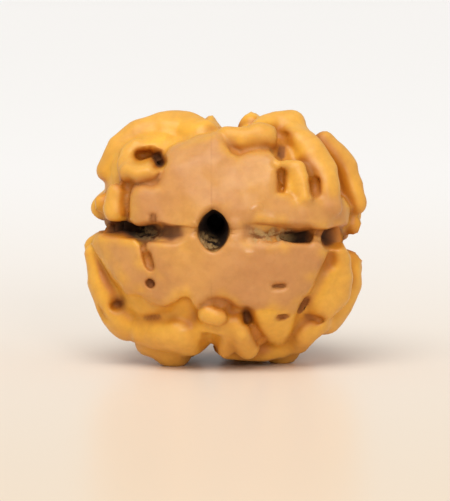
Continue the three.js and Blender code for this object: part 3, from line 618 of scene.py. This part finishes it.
def dent_darkness(p):
    """The darkest dent at each point of the front: each bell's square times its darkness, fading out towards
    the crown. It is painted shade at the dents' bottoms."""
    dark = np.zeros(len(p))
    for _, radius, darkness, start, end in DENTS:
        share = dent_share(p[:, 0], p[:, 2], radius, start, end)
        dark = np.maximum(dark, darkness * share ** 2)
    return dark * (p[:, 1] < 0.0) * soft_step(-crown_distance(p), 0.1, 0.7)


def shape_underside(f, p):
    """The underside stays a little above the ground, but for three feet, which are balls pressed into it."""
    wx = p[:, 0]
    wy = p[:, 1] * math.cos(LEAN) + p[:, 2] * math.sin(LEAN)
    wz = p[:, 2] * math.cos(LEAN) - p[:, 1] * math.sin(LEAN)
    near = np.nonzero(wz < FLOOR + 3.0)[0]
    g = smooth_max(f[near], FLOOR + 0.3 - wz[near], UNDERSIDE_BLEND)
    for foot_x, foot_y in FEET:
        rise = wz[near] - FLOOR - FOOT_RADIUS + FOOT_PRESS
        away = np.sqrt((wx[near] - foot_x) ** 2 + (wy[near] - foot_y) ** 2 + rise ** 2) - FOOT_RADIUS
        g = smooth_min(g, away, FOOT_BLEND)
    f[near] = g
    return f


def hole_size(y):
    """The hole's size at depth y, as a share of its size at the front face: it narrows inside."""
    return 1.0 - 0.5 * soft_step(y, -8.4, -5.5) + 0.4 * soft_step(y, 5.0, 8.0)


def from_hole_axis(p):
    """How far each point lies to the right of the hole's slanting axis, and how far above it."""
    behind = p[:, 1] + HALF_DEPTH
    return p[:, 0] - HOLE_X - behind * HOLE_DRIFT, p[:, 2] - HOLE_Z - behind * HOLE_RISE


def cut_hole(f, p, hole):
    """A pointed oval along the slanting axis: the power sum of the two offsets, each over its half size."""
    size = hole_size(p[:, 1])
    right, above = from_hole_axis(p)
    hx, hz = right / (hole[0] * size), above / (hole[1] * size)
    half_power = HOLE_POWER / 2
    ratio = ((hx * hx + 0.03) ** half_power + (hz * hz + 0.03) ** half_power) ** (1 / HOLE_POWER)
    return smooth_max(f, -(ratio - 1.0) * hole[0] * size, HOLE_BLEND)


def field(p, lists, share, dented, hole):
    """The whole bead: the flesh, with plates added, then clefts, pits, underside and hole cut."""
    f = flesh_distance(p, lists)
    f = add_plates(f, p)
    f = add_back_plate(f, p)
    f = cut_clefts(f, p, share)
    if dented:
        f = press_dents(f, p)
    f = shape_underside(f, p)
    return cut_hole(f, p, hole)


def value_and_slope(p, lists, share, dented, hole):
    """The field and its gradient from four probes at the corners of a small tetrahedron."""
    total = np.zeros(len(p), p.dtype)
    slope = np.zeros_like(p)
    for corner in TETRA:
        f = field(p + corner * PROBE, lists, share, dented, hole)
        total += f
        slope += f[:, None] * corner
    return total / 4, slope / (4 * PROBE)


def first_net(hole):
    """Rays leave a ring round the hole in every direction v at every angle u of the ring, each to where it
    meets the surface. The lines are packed closer where v faces the hole and where u crosses a cleft."""
    u = np.linspace(0.0, 2.0 * math.pi, FIRST_AROUND, endpoint=False)
    u = u - 0.12 * np.sin(2 * u) - 0.05 * np.sin(4 * u)
    v = np.linspace(0.0, 2.0 * math.pi, FIRST_ALONG, endpoint=False)
    v = v - 0.45 * np.sin(v)
    U, V = np.meshgrid(u, v, indexing="ij")
    centre_x = HOLE_X + HALF_DEPTH * HOLE_DRIFT + RING_RADIUS * np.cos(U)
    centre_z = HOLE_Z + HALF_DEPTH * HOLE_RISE + RING_RADIUS * np.sin(U)
    centre = np.stack([centre_x, 0.0 * U, centre_z], -1)
    out, back = np.cos(V), np.sin(V)
    way = np.stack([out * np.cos(U) + HOLE_DRIFT * back, back, out * np.sin(U) + HOLE_RISE * back], -1)
    to_axis = (RING_RADIUS - 0.02) / np.maximum(-out, 1e-3)
    t = np.where(out < -0.02, np.minimum(START_REACH, to_axis), START_REACH).reshape(-1).astype(np.float32)
    centre = centre.reshape(-1, 3).astype(np.float32)
    way = way.reshape(-1, 3).astype(np.float32)
    for _ in range(MARCH_STEPS):
        p = centre + way * t[:, None]
        step = np.clip(field(p, near_ridges(p, 0.0), 0.0, False, hole), -0.3, 3.0) * 0.6
        t = np.maximum(t - step, 0.0)
    return (centre + way * t[:, None]).reshape(FIRST_AROUND, FIRST_ALONG, 3)


def neighbour_sum(grid):
    """The sum of each point's four neighbours in a grid that closes on itself both ways."""
    return np.roll(grid, 1, 0) + np.roll(grid, -1, 0) + np.roll(grid, 1, 1) + np.roll(grid, -1, 1)


def settle(net, rounds, first_share, dented, hole):
    """Each round moves every point towards the mean of its four neighbours, along the surface only, then
    back onto the surface down the field's slope, while the cracks sink in from this share of their depth."""
    shape = net.shape
    normals = None
    for i in range(rounds):
        if i % 12 == 0:
            lists = near_ridges(net.reshape(-1, 3), 0.6)
        share = first_share + (1.0 - first_share) * min(1.0, (i + 1) / max(0.8 * rounds, 1.0))
        if normals is not None:
            move = neighbour_sum(net) / 4 - net
            move -= normals * (move * normals).sum(-1, keepdims=True)
            net = net + PULL * move
        flat = net.reshape(-1, 3)
        f, slope = value_and_slope(flat, lists, share, dented, hole)
        length = np.sqrt(np.maximum((slope * slope).sum(1), 0.1))
        normals = slope / length[:, None]
        flat = flat - normals * np.clip(f / length, -FURTHEST_STEP, FURTHEST_STEP)[:, None]
        normals = normals.reshape(shape)
        net = flat.reshape(shape).astype(np.float32)
    return net, normals


def finer(net):
    """The net with a point added halfway between every two neighbours, both ways round."""
    around = np.empty((net.shape[0] * 2, net.shape[1], 3), np.float32)
    around[0::2] = net
    around[1::2] = (net + np.roll(net, -1, 0)) / 2
    both = np.empty((around.shape[0], around.shape[1] * 2, 3), np.float32)
    both[:, 0::2] = around
    both[:, 1::2] = (around + np.roll(around, -1, 1)) / 2
    return both


def lattice_noise(p, size, seed):
    """Smooth noise from -1 to 1: random values at the corners of equal cubes, blended by soft steps."""
    q = p / size + 31.7 * seed
    cell = np.floor(q).astype(np.int64)
    t = q - cell
    t = t * t * (3.0 - 2.0 * t)
    total = np.zeros(len(p))
    for corner in range(8):
        offset = np.array([corner & 1, corner >> 1 & 1, corner >> 2 & 1])
        c = cell + offset
        mixed = (c[:, 0] * 73856093) ^ (c[:, 1] * 19349663) ^ (c[:, 2] * 83492791) ^ (seed * 2654435761)
        mixed = (mixed ^ (mixed >> 13)) * 1274126177 & 0x7FFFFFFF
        weight = np.where(offset, t, 1.0 - t).prod(1)
        total += weight * (mixed / 0x3FFFFFFF - 1.0)
    return total


def layered_noise(p, layers):
    """The sum of some layers of noise, each times its height."""
    return sum(height * lattice_noise(p, size, seed) for height, size, seed in layers)


def stand_up(p):
    """From the leaning frame to the ground: turned by the lean about x, lifted so the feet touch z = 0."""
    stood = p.astype(np.float64).copy()
    stood[:, 1] = p[:, 1] * math.cos(LEAN) + p[:, 2] * math.sin(LEAN)
    stood[:, 2] = np.maximum(p[:, 2] * math.cos(LEAN) - p[:, 1] * math.sin(LEAN) - FLOOR, 0.0)
    return stood


def residue_share(p):
    """Where grey crumbs cling: both side clefts near the hole, and the lower left of the hole's mouth."""
    cleft = soft_step(p[:, 0], 1.3, 2.4) * (1 - soft_step(p[:, 0], 4.3, 5.3))
    cleft = cleft * soft_step(-np.abs(p[:, 2] - 0.15), -0.85, -0.35) * (p[:, 1] < 0)
    mouth = soft_step(-np.hypot(p[:, 0] + 1.4, p[:, 2] + 0.5), -1.1, -0.6)
    mouth = mouth * soft_step(-crown_distance(p), 0.35, 0.8) * (p[:, 1] < 0)
    left = 0.6 * soft_step(p[:, 0], -6.9, -6.2) * (1 - soft_step(p[:, 0], -5.2, -4.4))
    left = left * soft_step(-np.abs(p[:, 2] - 0.3), -0.7, -0.3) * (p[:, 1] < 0)
    return np.clip(cleft + mouth + left, 0.0, 1.0)


def polish_share(p):
    """The rubbed, shinier swellings right of the hole: a bell round each of their short lines."""
    share = np.zeros(len(p))
    for radius, start, end in POLISHED:
        share = np.maximum(share, dent_share(p[:, 0], p[:, 2], radius, start, end))
    return share * (p[:, 1] < 0.0)


def evened(values, shape):
    """Values at the net's points, three times replaced by the mean of each point and its neighbours."""
    grid = values.reshape(shape)
    for _ in range(3):
        grid = (grid + neighbour_sum(grid)) / 5
    return grid.reshape(-1)


def skin_share(p):
    """1 on the worn skin round both ends of the hole, fading out over a ragged edge and below the crown."""
    patches = np.full(len(p), 9.0)
    for outline, short in SKIN_PATCHES:
        patches = np.minimum(patches, outline_distance(p[:, 0], p[:, 2], outline) + short)
    front = soft_step(-p[:, 1], 2.0, 4.0)
    behind = soft_step(p[:, 1], 2.0, 4.0)
    back_side = np.hypot(p[:, 0] - BACK_PLATE[0], p[:, 2] - BACK_PLATE[1]) - BACK_PLATE[2]
    ragged = 0.55 * lattice_noise(p, 0.9, 6)
    skin = front * soft_step(ragged - patches, -0.9, 0.9) + behind * soft_step(ragged - back_side, -0.9, 0.9)
    return np.clip(skin, 0.0, 1.0) * soft_step(crown_distance(p), -1.3, -0.3)


def relief_height(p, residue, polish):
    """Fine relief away from the feet, crumbs where residue clings, and the rise of the rubbed swellings."""
    above_ground = soft_step(p[:, 2], FLOOR + 0.3, FLOOR + 1.2)
    relief = layered_noise(p, RELIEF) * above_ground + layered_noise(p, CRUMBS) * residue
    return relief + polish * (POLISH_RISE + POLISH_GRAIN * lattice_noise(p, 0.7, 8))


def bead_surface(settings):
    """The settled net with its fine relief, and the values at each point that the bead's material reads."""
    hole = (settings.hole_width / MM / 2, settings.hole_height / MM / 2)
    net, _ = settle(first_net(hole), settings.coarse_rounds, 0.0, False, hole)
    net, _ = settle(finer(net), settings.middle_rounds, 1.0, False, hole)
    net, normals = settle(sink_into_dents(finer(net)), settings.fine_rounds, 1.0, True, hole)
    shape = net.shape[:2]
    p = net.reshape(-1, 3)
    normals = normals.reshape(-1, 3)
    lists = near_ridges(p, 2.2)
    values = {}
    for name, reach in OPENNESS.items():
        room = field(p + normals * reach, lists, 1.0, True, hole) / reach
        values[name] = evened(np.clip(room, -0.5, 1.0), shape)
    values["height"] = np.clip(crown_distance(p) / 2.0 + 1.0, -0.5, 1.5)
    from_axis = np.hypot(*from_hole_axis(p))
    # Where the material paints the hole's bore with near-black painted shade
    values["bore"] = soft_step(-from_axis, -1.9, -1.3) * soft_step(-crown_distance(p), 0.25, 1.3)
    values["residue"] = residue_share(p)
    values["polish"] = polish_share(p)
    # Painted shade in the dents and deep in the clefts, together with the clefts' dark dirt
    values["shade_and_dirt"] = np.maximum(dent_darkness(p), crack_darkness(p))
    values["skin"] = skin_share(p)
    relief = relief_height(p, values["residue"], values["polish"])
    return stand_up(p + normals * relief[:, None]), shape, values


def grid_faces(around, along):
    """One quad for each place of a grid that closes on itself both ways, facing outwards."""
    i, j = np.meshgrid(np.arange(around), np.arange(along), indexing="ij")
    i2, j2 = (i + 1) % around, (j + 1) % along
    quads = np.stack([i * along + j, i * along + j2, i2 * along + j2, i2 * along + j], -1)
    return quads.reshape(-1, 4)


def mesh_object(name, points, quads):
    """A smooth mesh object at the origin from arrays of points, in metres, and quads."""
    mesh = bpy.data.meshes.new(name)
    mesh.vertices.add(len(points))
    mesh.vertices.foreach_set("co", points.astype(np.float32).ravel())
    mesh.loops.add(quads.size)
    mesh.loops.foreach_set("vertex_index", quads.astype(np.int32).ravel())
    mesh.polygons.add(len(quads))
    mesh.polygons.foreach_set("loop_start", np.arange(0, quads.size, 4, dtype=np.int32))
    mesh.polygons.foreach_set("loop_total", np.full(len(quads), 4, np.int32))
    mesh.update(calc_edges=True)
    mesh.polygons.foreach_set("use_smooth", np.ones(len(quads), bool))
    piece = bpy.data.objects.new(name, mesh)
    bpy.context.scene.collection.objects.link(piece)
    return piece


class Nodes:
    """Short calls for adding nodes to one material and linking them."""

    def __init__(self, material):
        material.use_nodes = True
        self.tree = material.node_tree
        self.shader = self.tree.nodes["Principled BSDF"]

    def add(self, kind, **settings):
        node = self.tree.nodes.new(kind)
        for key, value in settings.items():
            setattr(node, key, value)
        return node

    def put(self, source, socket):
        if isinstance(source, bpy.types.NodeSocket):
            self.tree.links.new(source, socket)
        else:
            socket.default_value = source

    def math(self, operation, a, b=0.0):
        node = self.add("ShaderNodeMath", operation=operation)
        self.put(a, node.inputs[0])
        self.put(b, node.inputs[1])
        return node.outputs[0]

    def ramp(self, value, low, high, to_low=0.0, to_high=1.0):
        node = self.add("ShaderNodeMapRange", interpolation_type="SMOOTHSTEP")
        self.put(value, node.inputs["Value"])
        for key, number in (("From Min", low), ("From Max", high), ("To Min", to_low), ("To Max", to_high)):
            node.inputs[key].default_value = number
        return node.outputs["Result"]

    def mix(self, factor, a, b):
        node = self.add("ShaderNodeMix", data_type="RGBA")
        self.put(factor, node.inputs[0])
        self.put(a, node.inputs[6])
        self.put(b, node.inputs[7])
        return node.outputs[2]

    def noise(self, place, scale, detail=3.0, roughness=0.5, distortion=0.0):
        node = self.add("ShaderNodeTexNoise")
        self.put(place, node.inputs["Vector"])
        node.inputs["Scale"].default_value = scale
        node.inputs["Detail"].default_value = detail
        node.inputs["Roughness"].default_value = roughness
        node.inputs["Distortion"].default_value = distortion
        return node.outputs["Fac"]

    def attribute(self, name):
        return self.add("ShaderNodeAttribute", attribute_name=name).outputs["Fac"]


def bead_material(settings):
    """Golden flesh with amber painted shade in the hollows, a pinkish worn skin, cracks, dents and bore
    darkened by painted shade, and grey crumbs.
    """
    material = bpy.data.materials.new("dried_stone")
    n = Nodes(material)
    place = n.add("ShaderNodeTexCoord").outputs["Object"]
    near_open, far_open = n.attribute("near_open"), n.attribute("far_open")
    skin, height, bore = n.attribute("skin"), n.attribute("height"), n.attribute("bore")
    residue = n.attribute("residue")
    blotches = n.noise(place, 260.0, 4.0, 0.55, 0.4)
    cloud = n.noise(place, 110.0, 3.0, 0.5)
    specks = n.noise(place, 1500.0, 4.0, 0.6)
    fibres = n.noise(place, 4200.0, 3.0, 0.6)

    # Painted shade: amber laid in the hollows by how enclosed they are, besides amber in random blotches
    hollow_shade = n.ramp(n.math("ADD", far_open, n.math("MULTIPLY", cloud, 0.3)), 0.35, 1.2, 1.0, 0.0)
    flesh = n.mix(hollow_shade, (*settings.golden, 1.0), (*settings.amber, 1.0))
    flesh = n.mix(n.ramp(blotches, 0.35, 0.7, 0.0, 0.3), flesh, (*settings.amber, 1.0))
    high = n.ramp(n.math("ADD", height, n.math("MULTIPLY", cloud, 0.35)), 0.95, 1.3, 0.0, 0.3)
    worn = n.math("MULTIPLY", skin, n.ramp(cloud, 0.3, 0.6, 0.75, 1.0))
    colour = n.mix(n.math("MAXIMUM", worn, high), flesh, (*settings.skin, 1.0))
    blush = n.math("MULTIPLY", skin, n.ramp(blotches, 0.4, 0.68, 0.0, 0.45))
    colour = n.mix(blush, colour, (*settings.blush, 1.0))
    colour = n.mix(n.ramp(specks, 0.35, 0.7, 0.0, 0.12), colour, (*settings.crevice, 1.0))
    # Painted shade: creases darken towards the crevice colour by how enclosed the surface is close by
    crack = n.ramp(near_open, 0.0, 0.9, 1.0, 0.0)
    colour = n.mix(n.math("MULTIPLY", crack, 0.6), colour, (*settings.crevice, 1.0))
    # Painted shade and dirt: dents and cracks darken to the crevice colour, then to the near-black shadow
    # colour
    shade_and_dirt = n.attribute("shade_and_dirt")
    spread = n.math("MULTIPLY", n.math("SUBTRACT", blotches, 0.5), n.ramp(shade_and_dirt, 0.0, 0.3))
    blotched_shade_and_dirt = n.math("ADD", shade_and_dirt, spread)
    colour = n.mix(n.ramp(blotched_shade_and_dirt, 0.0, 0.6, 0.0, 0.85), colour, (*settings.crevice, 1.0))
    colour = n.mix(n.ramp(blotched_shade_and_dirt, 0.3, 1.0, 0.0, 0.94), colour, (*settings.shadow, 1.0))
    crumbs = n.math("MULTIPLY", residue, n.ramp(specks, 0.42, 0.56))
    # Painted shade: the hole's bore is painted the near-black shadow colour
    colour = n.mix(bore, colour, (*settings.shadow, 1.0))
    colour = n.mix(n.math("MULTIPLY", crumbs, 0.85), colour, (*settings.residue, 1.0))
    split = n.add("ShaderNodeSeparateXYZ")
    n.put(place, split.inputs[0])
    wavy = n.math("ADD", split.outputs["X"], n.math("MULTIPLY", cloud, 0.0002))
    away = n.math("ABSOLUTE", n.math("SUBTRACT", wavy, settings.seam))
    seam = n.math("MULTIPLY", n.ramp(away, 0.00002, 0.00011, 0.17, 0.0), skin)
    colour = n.mix(n.math("MULTIPLY", seam, n.ramp(blotches, 0.3, 0.6)), colour, (*settings.crevice, 1.0))
    n.put(colour, n.shader.inputs["Base Color"])

    roughness = n.ramp(blotches, 0.3, 0.7, 0.32, 0.5)
    roughness = n.math("SUBTRACT", roughness, n.math("MULTIPLY", n.attribute("polish"), 0.14))
    roughness = n.math("ADD", roughness, n.math("MULTIPLY", crumbs, 0.4))
    roughness = n.math("ADD", roughness, n.math("MULTIPLY", n.math("MAXIMUM", bore, shade_and_dirt), 0.5))
    n.put(n.math("ADD", roughness, n.math("MULTIPLY", crack, 0.25)), n.shader.inputs["Roughness"])
    n.shader.inputs["Specular IOR Level"].default_value = 0.36
    n.shader.inputs["Subsurface Weight"].default_value = 0.12
    n.shader.inputs["Subsurface Radius"].default_value = (1.0, 0.45, 0.2)
    n.shader.inputs["Subsurface Scale"].default_value = 0.0006

    grain = n.math("ADD", n.math("MULTIPLY", specks, 0.7), n.math("MULTIPLY", fibres, 0.3))
    bump = n.add("ShaderNodeBump")
    bump.inputs["Strength"].default_value = 0.35
    bump.inputs["Distance"].default_value = 0.00006
    n.put(grain, bump.inputs["Height"])
    n.put(bump.outputs["Normal"], n.shader.inputs["Normal"])
    return material


def floor_material(settings):
    """A pale, slightly glossy sheet that turns from white at the back to cream in front."""
    material = bpy.data.materials.new("pale_floor")
    n = Nodes(material)
    place = n.add("ShaderNodeTexCoord").outputs["Object"]
    split = n.add("ShaderNodeSeparateXYZ")
    n.put(place, split.inputs[0])
    back = n.ramp(split.outputs["Y"], -0.11, 0.17)
    colour = n.mix(back, (*settings.floor_front, 1.0), (*settings.floor_back, 1.0))
    n.put(colour, n.shader.inputs["Base Color"])
    n.shader.inputs["Roughness"].default_value = settings.floor_roughness
    n.shader.inputs["Specular IOR Level"].default_value = settings.floor_gloss
    return material


class BeadSettings(PropertyGroup):
    hole_width: FloatProperty(
        name="Hole width", description="Width of the hole's mouth", default=0.00248, unit="LENGTH",
        precision=5)
    hole_height: FloatProperty(
        name="Hole height", description="Height of the hole's mouth", default=0.0032, unit="LENGTH",
        precision=5)
    seam: FloatProperty(
        name="Seam", description="Where the fine seam line crosses the width", default=-0.0009,
        unit="LENGTH", precision=5)
    coarse_rounds: IntProperty(
        name="Coarse rounds", description="Rounds that even out the coarse net", default=120, min=1)
    middle_rounds: IntProperty(
        name="Middle rounds", description="Rounds that even out the net of half the spacing", default=36,
        min=1)
    fine_rounds: IntProperty(
        name="Fine rounds", description="Rounds that even out the finest net", default=12, min=1)
    golden: FloatVectorProperty(
        name="Golden", description="Colour of the ridges", default=(0.83, 0.435, 0.045), subtype="COLOR",
        min=0, max=1)
    # The amber colour is painted shade in the hollows, and the real colour of random blotches
    amber: FloatVectorProperty(
        name="Amber", description="Colour of the hollows", default=(0.54, 0.19, 0.012), subtype="COLOR",
        min=0, max=1)
    skin: FloatVectorProperty(
        name="Skin", description="Colour of the worn skin", default=(0.56, 0.26, 0.08), subtype="COLOR",
        min=0, max=1)
    blush: FloatVectorProperty(
        name="Blush", description="Pinkish patches of the skin", default=(0.48, 0.2, 0.07), subtype="COLOR",
        min=0, max=1)
    # The crevice colour is painted shade in the creases, dents and cracks, and the real colour of the dark
    # specks and the seam line
    crevice: FloatVectorProperty(
        name="Crevice", description="Colour in the creases", default=(0.2, 0.06, 0.012), subtype="COLOR",
        min=0, max=1)
    # The shadow colour is painted shade: near-black laid deep in the cracks, the dents' bottoms and the
    # hole's bore
    shadow: FloatVectorProperty(
        name="Crack", description="Colour deep in the cracks and the hole", default=(0.02, 0.008, 0.003),
        subtype="COLOR", min=0, max=1)
    residue: FloatVectorProperty(
        name="Residue", description="Colour of the dried crumbs", default=(0.45, 0.28, 0.11),
        subtype="COLOR", min=0, max=1)


class StageSettings(PropertyGroup):
    elevation: FloatProperty(
        name="Elevation", description="Angle of the camera above the floor", default=LEAN, subtype="ANGLE")
    distance: FloatProperty(
        name="Distance", description="Distance of the camera from the bead", default=0.4, unit="LENGTH")
    view_height: FloatProperty(
        name="View height", description="Height of the picture at the bead", default=PICTURE_ROWS * PIXEL,
        unit="LENGTH", precision=5)
    view_rise: FloatProperty(
        name="View rise", description="Height of the bead's centre above the picture's centre",
        default=0.00097, unit="LENGTH", precision=5)
    floor_back: FloatVectorProperty(
        name="Floor back", description="Colour of the floor behind the bead", default=(0.96, 0.95, 0.94),
        subtype="COLOR", min=0, max=1)
    floor_front: FloatVectorProperty(
        name="Floor front", description="Colour of the floor before the bead", default=(0.8, 0.66, 0.5),
        subtype="COLOR", min=0, max=1)
    floor_roughness: FloatProperty(
        name="Floor roughness", description="Roughness of the floor", default=0.3, subtype="FACTOR",
        min=0, max=1)
    floor_gloss: FloatProperty(
        name="Floor gloss", description="Strength of the floor's gloss", default=0.25, subtype="FACTOR",
        min=0, max=1)
    sky: FloatProperty(
        name="Sky", description="Strength of the even white light from all round", default=0.55, min=0)
    key: FloatProperty(
        name="Key light", description="Strength of the broad soft light from above", default=2.25, min=0)
    fill: FloatProperty(
        name="Front light", description="Power of the small light before the bead", default=0.2, min=0)


class RUDRAKSHA_OT_bead(Operator):
    """Weave the bead's surface and give it its finish"""

    bl_idname = "rudraksha.bead"
    bl_label = "Bead"

    def execute(self, context):
        settings = context.scene.rudraksha_bead
        points, shape, values = bead_surface(settings)
        middle = (points[:, :2].min(0) + points[:, :2].max(0)) / 2
        wanted = np.array([BEAD_LOW[0] + BEAD_HIGH[0], BEAD_LOW[1] + BEAD_HIGH[1]]) / 2 / MM
        points[:, :2] -= middle - wanted
        piece = mesh_object("bead_stone", points * MM, grid_faces(*shape))
        for name, numbers in values.items():
            attribute = piece.data.attributes.new(name, "FLOAT", "POINT")
            attribute.data.foreach_set("value", numbers.astype(np.float32))
        piece.data.materials.append(bead_material(settings))
        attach(piece, "root")
        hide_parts("bead")
        return {"FINISHED"}


def add_lamp(name, kind, strength, colour):
    """A lamp of one kind at the origin, still to be placed and aimed."""
    light = bpy.data.lights.new(name, kind)
    light.energy = strength
    light.color = colour
    lamp = bpy.data.objects.new(name, light)
    bpy.context.scene.collection.objects.link(lamp)
    return lamp


class RUDRAKSHA_OT_stage(Operator):
    """Lay the floor, hang the lights and aim the camera"""

    bl_idname = "rudraksha.stage"
    bl_label = "Stage"

    def execute(self, context):
        settings = context.scene.rudraksha_stage
        scene = context.scene
        corners = FLOOR_REACH * np.array([(-1, -1, 0), (1, -1, 0), (1, 1, 0), (-1, 1, 0)])
        floor = mesh_object("floor", corners, np.array([[0, 1, 2, 3]]))
        floor.data.materials.append(floor_material(settings))

        world = bpy.data.worlds.new("studio")
        scene.world = world
        world.use_nodes = True
        sky = world.node_tree.nodes["Background"]
        sky.inputs["Color"].default_value = SKY_COLOUR
        sky.inputs["Strength"].default_value = settings.sky

        key = add_lamp("key_light", "SUN", settings.key, KEY_COLOUR)
        key.data.angle = KEY_SPREAD
        key.rotation_euler = Vector(KEY_DIRECTION).to_track_quat("Z", "Y").to_euler()

        front = add_lamp("front_light", "AREA", settings.fill, FRONT_LIGHT_COLOUR)
        front.data.size = FRONT_LIGHT_SIZE
        front.location = FRONT_LIGHT_PLACE
        aim = (BEAD_LOW + BEAD_HIGH) / 2 - front.location
        front.rotation_euler = aim.to_track_quat("-Z", "Y").to_euler()

        camera = bpy.data.cameras.new("camera")
        camera.sensor_fit = "VERTICAL"
        camera.sensor_height = SENSOR_HEIGHT
        camera.lens = camera.sensor_height * settings.distance / settings.view_height
        camera.clip_start = 0.01
        camera.clip_end = 10.0
        eye = bpy.data.objects.new("camera", camera)
        scene.collection.objects.link(eye)
        eye.rotation_euler = (math.pi / 2 - settings.elevation, 0.0, 0.0)
        axes = eye.rotation_euler.to_matrix()
        bead_centre = eye.location.copy()
        bead_centre.z = -FLOOR * MM
        eye.location = bead_centre - axes.col[1] * settings.view_rise + axes.col[2] * settings.distance
        scene.camera = eye
        scene.view_settings.view_transform = "Standard"
        return {"FINISHED"}


class RUDRAKSHA_PT_panel(Panel):
    """Lists the pieces and their sizes and colours"""

    bl_idname = "RUDRAKSHA_PT_panel"
    bl_label = "Rudraksha bead"
    bl_space_type = "VIEW_3D"
    bl_region_type = "UI"
    bl_category = "Bead"

    def draw(self, context):
        scene = context.scene
        groups = ((RUDRAKSHA_OT_bead, scene.rudraksha_bead), (RUDRAKSHA_OT_stage, scene.rudraksha_stage))
        for operator, settings in groups:
            box = self.layout.box()
            box.operator(operator.bl_idname)
            for name in settings.__annotations__:
                box.prop(settings, name)


CLASSES = (BeadSettings, StageSettings, RUDRAKSHA_OT_bead, RUDRAKSHA_OT_stage, RUDRAKSHA_PT_panel)


def register():
    for cls in CLASSES:
        bpy.utils.register_class(cls)
    bpy.types.Scene.rudraksha_bead = PointerProperty(type=BeadSettings)
    bpy.types.Scene.rudraksha_stage = PointerProperty(type=StageSettings)


def unregister():
    del bpy.types.Scene.rudraksha_bead
    del bpy.types.Scene.rudraksha_stage
    for cls in reversed(CLASSES):
        bpy.utils.unregister_class(cls)


def main():
    register()
    bpy.ops.rudraksha.bead()
    bpy.ops.rudraksha.stage()


if __name__ == "__main__":
    main()
